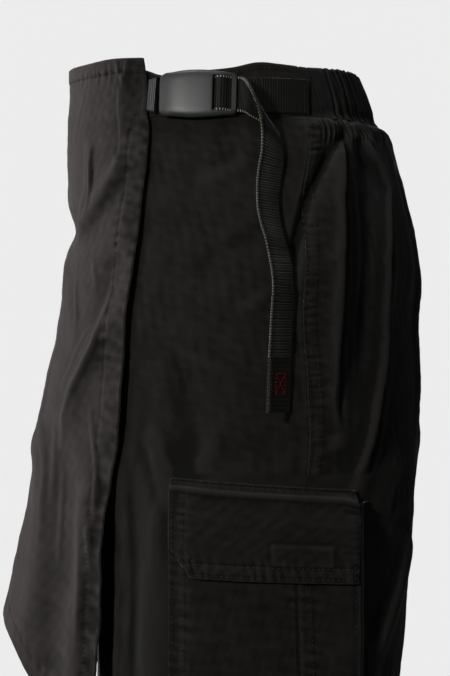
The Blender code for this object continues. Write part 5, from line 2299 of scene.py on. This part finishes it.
    def build_tongue(self) -> None:
        """Makes the tongue with its upright grooves."""
        half = self.tongue_length / 2
        rings = []
        for along in np.linspace(-half, half, 49):
            share = (along + half) / (2 * half)
            height = 0.0116 + 0.0014 * share
            deep = self.tongue_depth * (0.96 + 0.14 * share)
            groove = 0.0006 * float(0.5 + 0.5 * np.cos(2 * pi * 4.0 * (share - 0.1))) ** 1.5 * (0.2 < share)
            ring = ((0.0, -height), (0.7 * deep, -height), (deep - groove, -0.92 * height),
                    (deep - groove, 0.92 * height), (0.7 * deep, height), (0.0, height))
            rings.append([Vector((out, along, up)) for out, up in ring])
        place = self.place(self.tongue_y)
        tongue = self.finished(self.solid("tongue", rings), "buckle_tongue_ribbed", place, (), 0.0)
        settle(tongue, "buckle_plastic", "buckle_tongue")

    def build(self) -> None:
        """Makes the three hard pieces."""
        place = self.place(self.place_y)
        self.build_cover(place)
        self.build_bar(place)
        self.build_tongue()


@dataclass
class Belt:
    """The webbing with its hanging tail, the short stub and the folded label."""

    form: WornForm
    finishes: Finishes
    buckle: Buckle
    width: float = 0.0246
    thickness: float = 0.0014
    start: float = 0.064
    leaves: float = 0.018
    stub: tuple[float, float] = (-0.064, -0.0492)
    label_end: float = -0.2404
    label_thickness: float = 0.0022
    rib: float = 0.00195

    def tail_edges(self, step: Array) -> Pair:
        """Near and far edge of the hanging webbing at a step of its table.

        Args:
            step: The step.

        Returns:
            Both edges.
        """
        near_y, near_z = read(TAIL, step, "near_y"), read(TAIL, step, "near_z")
        far_y, far_z = read(TAIL, step, "far_y"), read(TAIL, step, "far_z")
        cloth, _ = self.form.on_side(far_y, np.minimum(far_z, self.form.band_seam - 0.001))
        far_x = cloth[..., 0] + read(TAIL, step, "lift")
        reach = self.width**2 - (near_y - far_y) ** 2 - (near_z - far_z) ** 2
        near = np.stack([far_x + np.sqrt(reach), near_y, near_z], axis=-1)
        return near, np.stack([far_x, far_y, far_z], axis=-1)

    def rows_between(self, first: Array, second: Array, bulge: float = 0.0) -> Array:
        """Three points across the band for each pair of edge points."""
        middle = (first + second) / 2 + np.array((0.0, bulge, 0.0))
        return np.stack([first, middle, second], axis=1)

    def on_band(self, y: Array, off: float) -> Array:
        """Rows of a strap that lies on the waistband.

        Args:
            y: Places front to back.
            off: How far off the waistband.

        Returns:
            The rows.
        """
        half = self.width / 2
        top = self.form.on_band(y, np.full(len(y), self.buckle.strap_middle + half), off)[0]
        bottom = self.form.on_band(y, np.full(len(y), self.buckle.strap_middle - half), off)[0]
        return self.rows_between(top, bottom)

    def in_place(self, matrix: Matrix, out: Array, along: Array, up: float) -> Array:
        """Points from a placing's own axes."""
        local = np.stack(np.broadcast_arrays(out, along, up), axis=-1)
        return local @ np.array(matrix.to_3x3()).T + np.array(matrix.translation)

    def band(self, name: str, rows: Array, thickness: float, spacing: float, ribs: float,
             finish: Material,
             painted_shade: Sequence[tuple[float, float]] = ((0.0, 0.0),)) -> tuple[Object, Cloth, Cloth]:
        """Makes a woven band with raised ribs.

        Args:
            name: The piece's name.
            rows: Rows of three points down its middle layer.
            thickness: Its thickness.
            spacing: Distance between its fine rows.
            ribs: Height of its ribs.
            finish: Its material.
            painted_shade: How much painted shade darkens it at shares along it, as pairs of share and amount.

        Returns:
            The object, and its two faces as cloth.
        """
        size = np.linalg.norm(np.diff(rows.mean(axis=1), axis=0), axis=-1).sum()
        fine, along = smooth_rows(rows, int(size / spacing) + 2)
        across = stations((0.06, 2), (0.94, 10), (1.0, 2))
        t = across[None, :, None]
        first, middle, last = fine[:, :1], fine[:, 1:2], fine[:, 2:]
        points = first * (1 - t) * (1 - 2 * t) + middle * 4 * t * (1 - t) + last * t * (2 * t - 1)
        normal = unit(np.cross(np.gradient(points, axis=1), np.gradient(points, axis=0)))
        wave = np.cos(2 * pi * along / self.rib)[:, None] + 0 * across
        down = np.linspace(0, 1, len(points))
        cloth = Cloth.moved_out(across, down, points, normal, thickness / 2 + ribs * wave)
        obj = cloth.wall(name, thickness, finish, (Edge.START, Edge.END), wear_and_shading=0.0, scale=0.00022,
                         level_ends=False)
        tone = np.clip(1.1 * wave - 0.1, -1.0, 1.0)
        # Painted shade, darkening the band by the given amount at each share along it.
        shade = -np.interp(down, *zip(*painted_shade))[:, None]
        # Painted highlight: the edges are painted lighter in the ribs' rhythm, less along the start of the
        # band that lies on the waistband.
        edge = np.maximum(np.where((across < 0.04) | (across > 0.96), 1.0, 0.0) * (0.35 + 0.65 * wave), 0.0)
        edge = edge * (0.35 + 0.65 * ease(0.2, 0.27, down))[:, None]
        tone = (tone * 0.5 + 1.5 * edge + shade).reshape(-1)
        values = np.concatenate([tone, tone, tone[cloth.numbers()[1]]]).astype(np.float32)
        obj.data.attributes["crest"].data.foreach_set("value", values)
        back = Cloth(across, down, cloth.points - thickness * cloth.normals, -cloth.normals)
        return obj, cloth, back

    def build_webbing(self) -> Array:
        """Makes the strap, its loop round the bar and its tail, and returns the tail's last row."""
        off = 2 * self.form.seam_gap + self.thickness / 2
        strap = self.on_band(np.linspace(self.start, self.leaves, 7), off)
        place = self.buckle.place(self.buckle.place_y)
        radius = self.buckle.bar_radius + 2 * self.form.seam_gap + self.thickness / 2
        turn = np.radians(np.linspace(-80.0, -280.0, 8))
        before, after = np.array(TO_BAR), np.array(FROM_BAR)
        along = np.concatenate([before[:, 0], self.buckle.bar_along + radius * np.cos(turn), after[:, 0]])
        out = np.concatenate([before[:, 1], self.buckle.bar_out + radius * np.sin(turn), after[:, 1]])
        half = self.width / 2
        loop = self.rows_between(self.in_place(place, out, along, half),
                                 self.in_place(place, out, along, -half))
        near, far = self.tail_edges(np.linspace(TAIL[0].step, TAIL[-1].step, 22))
        rows = np.concatenate([strap, loop, self.rows_between(near, far, 0.0008)])
        steps = np.linalg.norm(np.diff(rows.mean(axis=1), axis=0), axis=-1)
        lengths = np.concatenate([[0.0], np.cumsum(steps)])
        lengths = lengths / lengths[-1]
        bend, leaving = len(strap) + len(before) + 5, len(strap) + len(loop)
        # Painted shade: the strap on the waistband, the webbing round the bar and the stretch behind the
        # buckle's rim are painted darker; the hanging tail is not.
        shades = ((0, 0.64), (len(strap), 0.64), (bend - 4, 0.78), (bend, 0.78), (bend + 2, 0.95),
                 (leaving + 3, 0.95), (leaving + 5, 0.0), (-1, 0.0))
        painted_shade = [(float(lengths[row]), amount) for row, amount in shades]
        obj, cloth, back = self.band("belt_webbing_woven", rows, self.thickness, 0.00042, 0.00022,
                                     self.finishes.webbing, painted_shade)
        settle(obj, "webbing", "belt_webbing")
        thread = Stitching(stitch=0.0013, gap=0.00065)
        for face, start, stop in ((cloth, 0.0, 0.16), (back, 0.24, 1.0)):
            for share in (0.025, 0.975):
                thread.row(face, share, np.linspace(start, stop, 3000), 1.2)
        for share in (0.006, 0.012):
            u = np.linspace(0.04, 0.96, 60)
            zigzag = share + np.where(np.arange(60) % 2 == 0, -0.0016, 0.0016)
            points, out_way = cloth.at(u, zigzag)
            thread.lines(points[:-1], points[1:], out_way[:-1], 0.9)
        sewn = thread.piece("belt_webbing_stitching", "webbing", self.finishes.thread)
        loops = Stitching(stitch=0.0014, gap=0.00055)
        start = float(lengths[leaving - 2])
        loops.row(back, 0.004, np.linspace(start, 1.0, 3000), 2.1)
        loops.row(back, 0.03, np.linspace(start, start + 0.13, 400), 2.1)
        selvedge = loops.piece("belt_webbing_selvedge", "webbing", self.finishes.selvedge)
        return np.stack([near[-1], far[-1]])

    def build_label(self, end: Array) -> None:
        """Makes the label at the tail's end, with its edge stitches and a plain red cross.

        Args:
            end: The webbing's last row.
        """
        fall = np.linspace(self.form.seam_gap, end[0][2] - self.label_end, 5)
        drop = fall[:, None] * np.array((0.0, -0.03, -1.0))
        rows = self.rows_between(end[0] + drop, end[1] + drop)
        obj, _, cloth = self.band("tail_label_tape", rows, self.label_thickness, 0.0012, 0.00002,
                                  self.finishes.label)
        settle(obj, "label_tape", "tail_label")
        thread = Stitching(stitch=0.0016, gap=0.0008)
        v = np.linspace(0.03, 0.97, 200)
        thread.row(cloth, 0.95, v, 1.3)
        for share in (0.05, 0.95):
            thread.row(cloth, np.linspace(0.05, 0.95, 120), share)
        sewn = thread.piece("tail_label_stitching", "label_tape", self.finishes.thread)
        fringe = Stitching(stitch=0.0014, gap=0.0005)
        for share, thick in ((0.01, 2.0), (0.07, 1.7)):
            fringe.row(cloth, share, v, thick)
        edge = fringe.piece("tail_label_edge", "label_tape", self.finishes.selvedge)
        cross = Stitching(stitch=0.0017, gap=0.0005)
        corners = np.array(((0.3, 0.3), (0.74, 0.3), (0.74, 0.66), (0.3, 0.66)))
        strokes = [(corners[i], corners[(i + 1) % 4]) for i in range(4)]
        strokes += [(corners[0], corners[2]), (corners[1], corners[3])]
        for start, stop in strokes:
            cross.row(cloth, *np.linspace(start, stop, 40).T, 1.7)
        red = cross.piece("tail_label_cross", "label_tape", self.finishes.red_thread)

    def build_stub(self) -> None:
        """Makes the short stub between the wrap's edge and the tongue."""
        off = 2 * self.form.seam_gap + self.thickness / 2
        rows = self.on_band(np.linspace(self.stub[1], self.stub[0], 6), off)
        # The stub is painted slightly darker all along: painted shade.
        obj, _, _ = self.band("belt_stub_woven", rows, self.thickness, 0.00045, 0.00018,
                              self.finishes.webbing, ((0.0, 0.2),))
        settle(obj, "webbing", "belt_stub")

    def build(self) -> None:
        """Makes the webbing, the label and the stub."""
        end = self.build_webbing()
        self.build_label(end)
        self.build_stub()


# ---------------------------------------------------------------- studio


class Lamp(NamedTuple):
    """A soft square lamp: where it stands, what it points at, its size, power and tint."""

    name: str
    place: Colour
    target: Colour
    size: float
    power: float
    tint: Colour


@dataclass
class Studio:
    """Camera, soft lamps, pale floor and backdrop."""

    eye: Colour = (2.086, 0.006, -0.189)
    focal_pixels: float = 2752.0
    picture_height: float = 676.0
    sensor: float = 36.0
    floor_z: float = -1.0
    floor_radius: float = 5.2
    sweep_radius: float = 1.5
    wall_height: float = 5.0
    ambient: float = 0.01
    lamps: tuple[Lamp, ...] = (
        Lamp("front", (-1.34, -2.12, 0.47), (0.0, 0.0, -0.2), 0.75, 37.0, (1.0, 0.85, 0.86)),
        Lamp("key", (1.18, -2.22, 0.47), (0.0, 0.0, -0.2), 0.5, 3.0, (1.0, 0.95, 0.93)),
        Lamp("side", (2.17, -1.26, 0.47), (0.0, 0.0, -0.2), 0.25, 14.5, (1.0, 0.985, 0.96)),
        Lamp("fill", (2.17, 1.26, 0.47), (0.0, 0.0, -0.2), 0.9, 2.2, (0.96, 1.0, 0.98)),
        Lamp("top", (0.36, -0.45, 1.5), (0.12, 0.0, -0.2), 0.5, 4.5, (1.0, 1.0, 1.0)),
        Lamp("far_side", (-2.6, 0.0, 0.6), (-0.2, 0.0, -0.2), 1.4, 30.0, (1.0, 1.0, 1.0)),
    )

    def build_camera(self) -> None:
        """Sets the camera at the photograph's viewing angle."""
        data = bpy.data.cameras.new("view")
        data.sensor_fit = "AUTO"
        data.sensor_width = self.sensor
        data.lens = self.focal_pixels / self.picture_height * self.sensor
        camera = placed("view", data)
        camera.location = self.eye
        camera.rotation_euler = (pi / 2, 0.0, pi / 2)
        bpy.context.scene.camera = camera

    def build_lamps(self) -> None:
        """Places the lamps and the even light round them."""
        for lamp in self.lamps:
            data = bpy.data.lights.new(lamp.name, "AREA")
            data.size = lamp.size
            data.energy = lamp.power
            data.color = lamp.tint
            obj = placed(lamp.name, data)
            obj.location = lamp.place
            way = Vector(lamp.target) - Vector(lamp.place)
            obj.rotation_euler = way.to_track_quat("-Z", "Y").to_euler()
            obj.visible_camera = False
        world = bpy.data.worlds.new("studio_air")
        world.use_nodes = True
        back = world.node_tree.nodes["Background"]
        back.inputs["Color"].default_value = (1.0, 1.0, 1.0, 1.0)
        back.inputs["Strength"].default_value = self.ambient
        bpy.context.scene.world = world

    def build_floor(self) -> None:
        """Makes the round floor that sweeps up into the backdrop."""
        sweep = np.linspace(0, pi / 2, 13)
        edge = self.floor_radius + self.sweep_radius * np.sin(sweep)
        rise = self.sweep_radius * (1 - np.cos(sweep))
        radius = np.concatenate([[0.0, 1.0, 3.0], edge, [self.floor_radius + self.sweep_radius]])
        height = np.concatenate([[0.0, 0.0, 0.0], rise, [self.wall_height]]) + self.floor_z
        turn = np.linspace(0, 2 * pi, 96, endpoint=False)
        points = np.stack([radius[:, None] * np.cos(turn), radius[:, None] * np.sin(turn),
                           height[:, None] + 0 * turn], axis=-1).reshape(-1, 3)
        rings, count = len(radius), len(turn)
        i, j = np.meshgrid(np.arange(rings - 1), np.arange(count), indexing="ij")
        after = (j + 1) % count
        near, far = i * count, (i + 1) * count
        faces = np.stack([near + j, near + after, far + after, far + j], axis=-1)
        floor = mesh_object("studio_floor", points, faces.reshape(-1, 4), StudioFinish().make())
        floor.visible_diffuse = False
        floor.visible_glossy = False
        floor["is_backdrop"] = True

    def build(self) -> None:
        """Makes the whole studio."""
        self.build_camera()
        self.build_lamps()
        self.build_floor()
        bpy.context.scene.view_settings.view_transform = "Standard"


def corners() -> list[list[float]]:
    """Lowest and highest corner of what is shown, as plain lists."""
    return [[float(value) for value in corner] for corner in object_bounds()]


def main() -> None:
    """Loads the frame, dresses every piece and sets the studio."""
    logging.basicConfig(level=logging.INFO, format="%(message)s")
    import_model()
    Studio().build()
    form, finishes = WornForm(), Finishes()
    Shorts(form, finishes).build()
    Waistbands(form, finishes).build()
    Wrap(form, finishes).build()
    CargoPocket(form, finishes).build()
    buckle = Buckle(form, finishes)
    buckle.build()
    Belt(form, finishes, buckle).build()


if __name__ == "__main__":
    main()
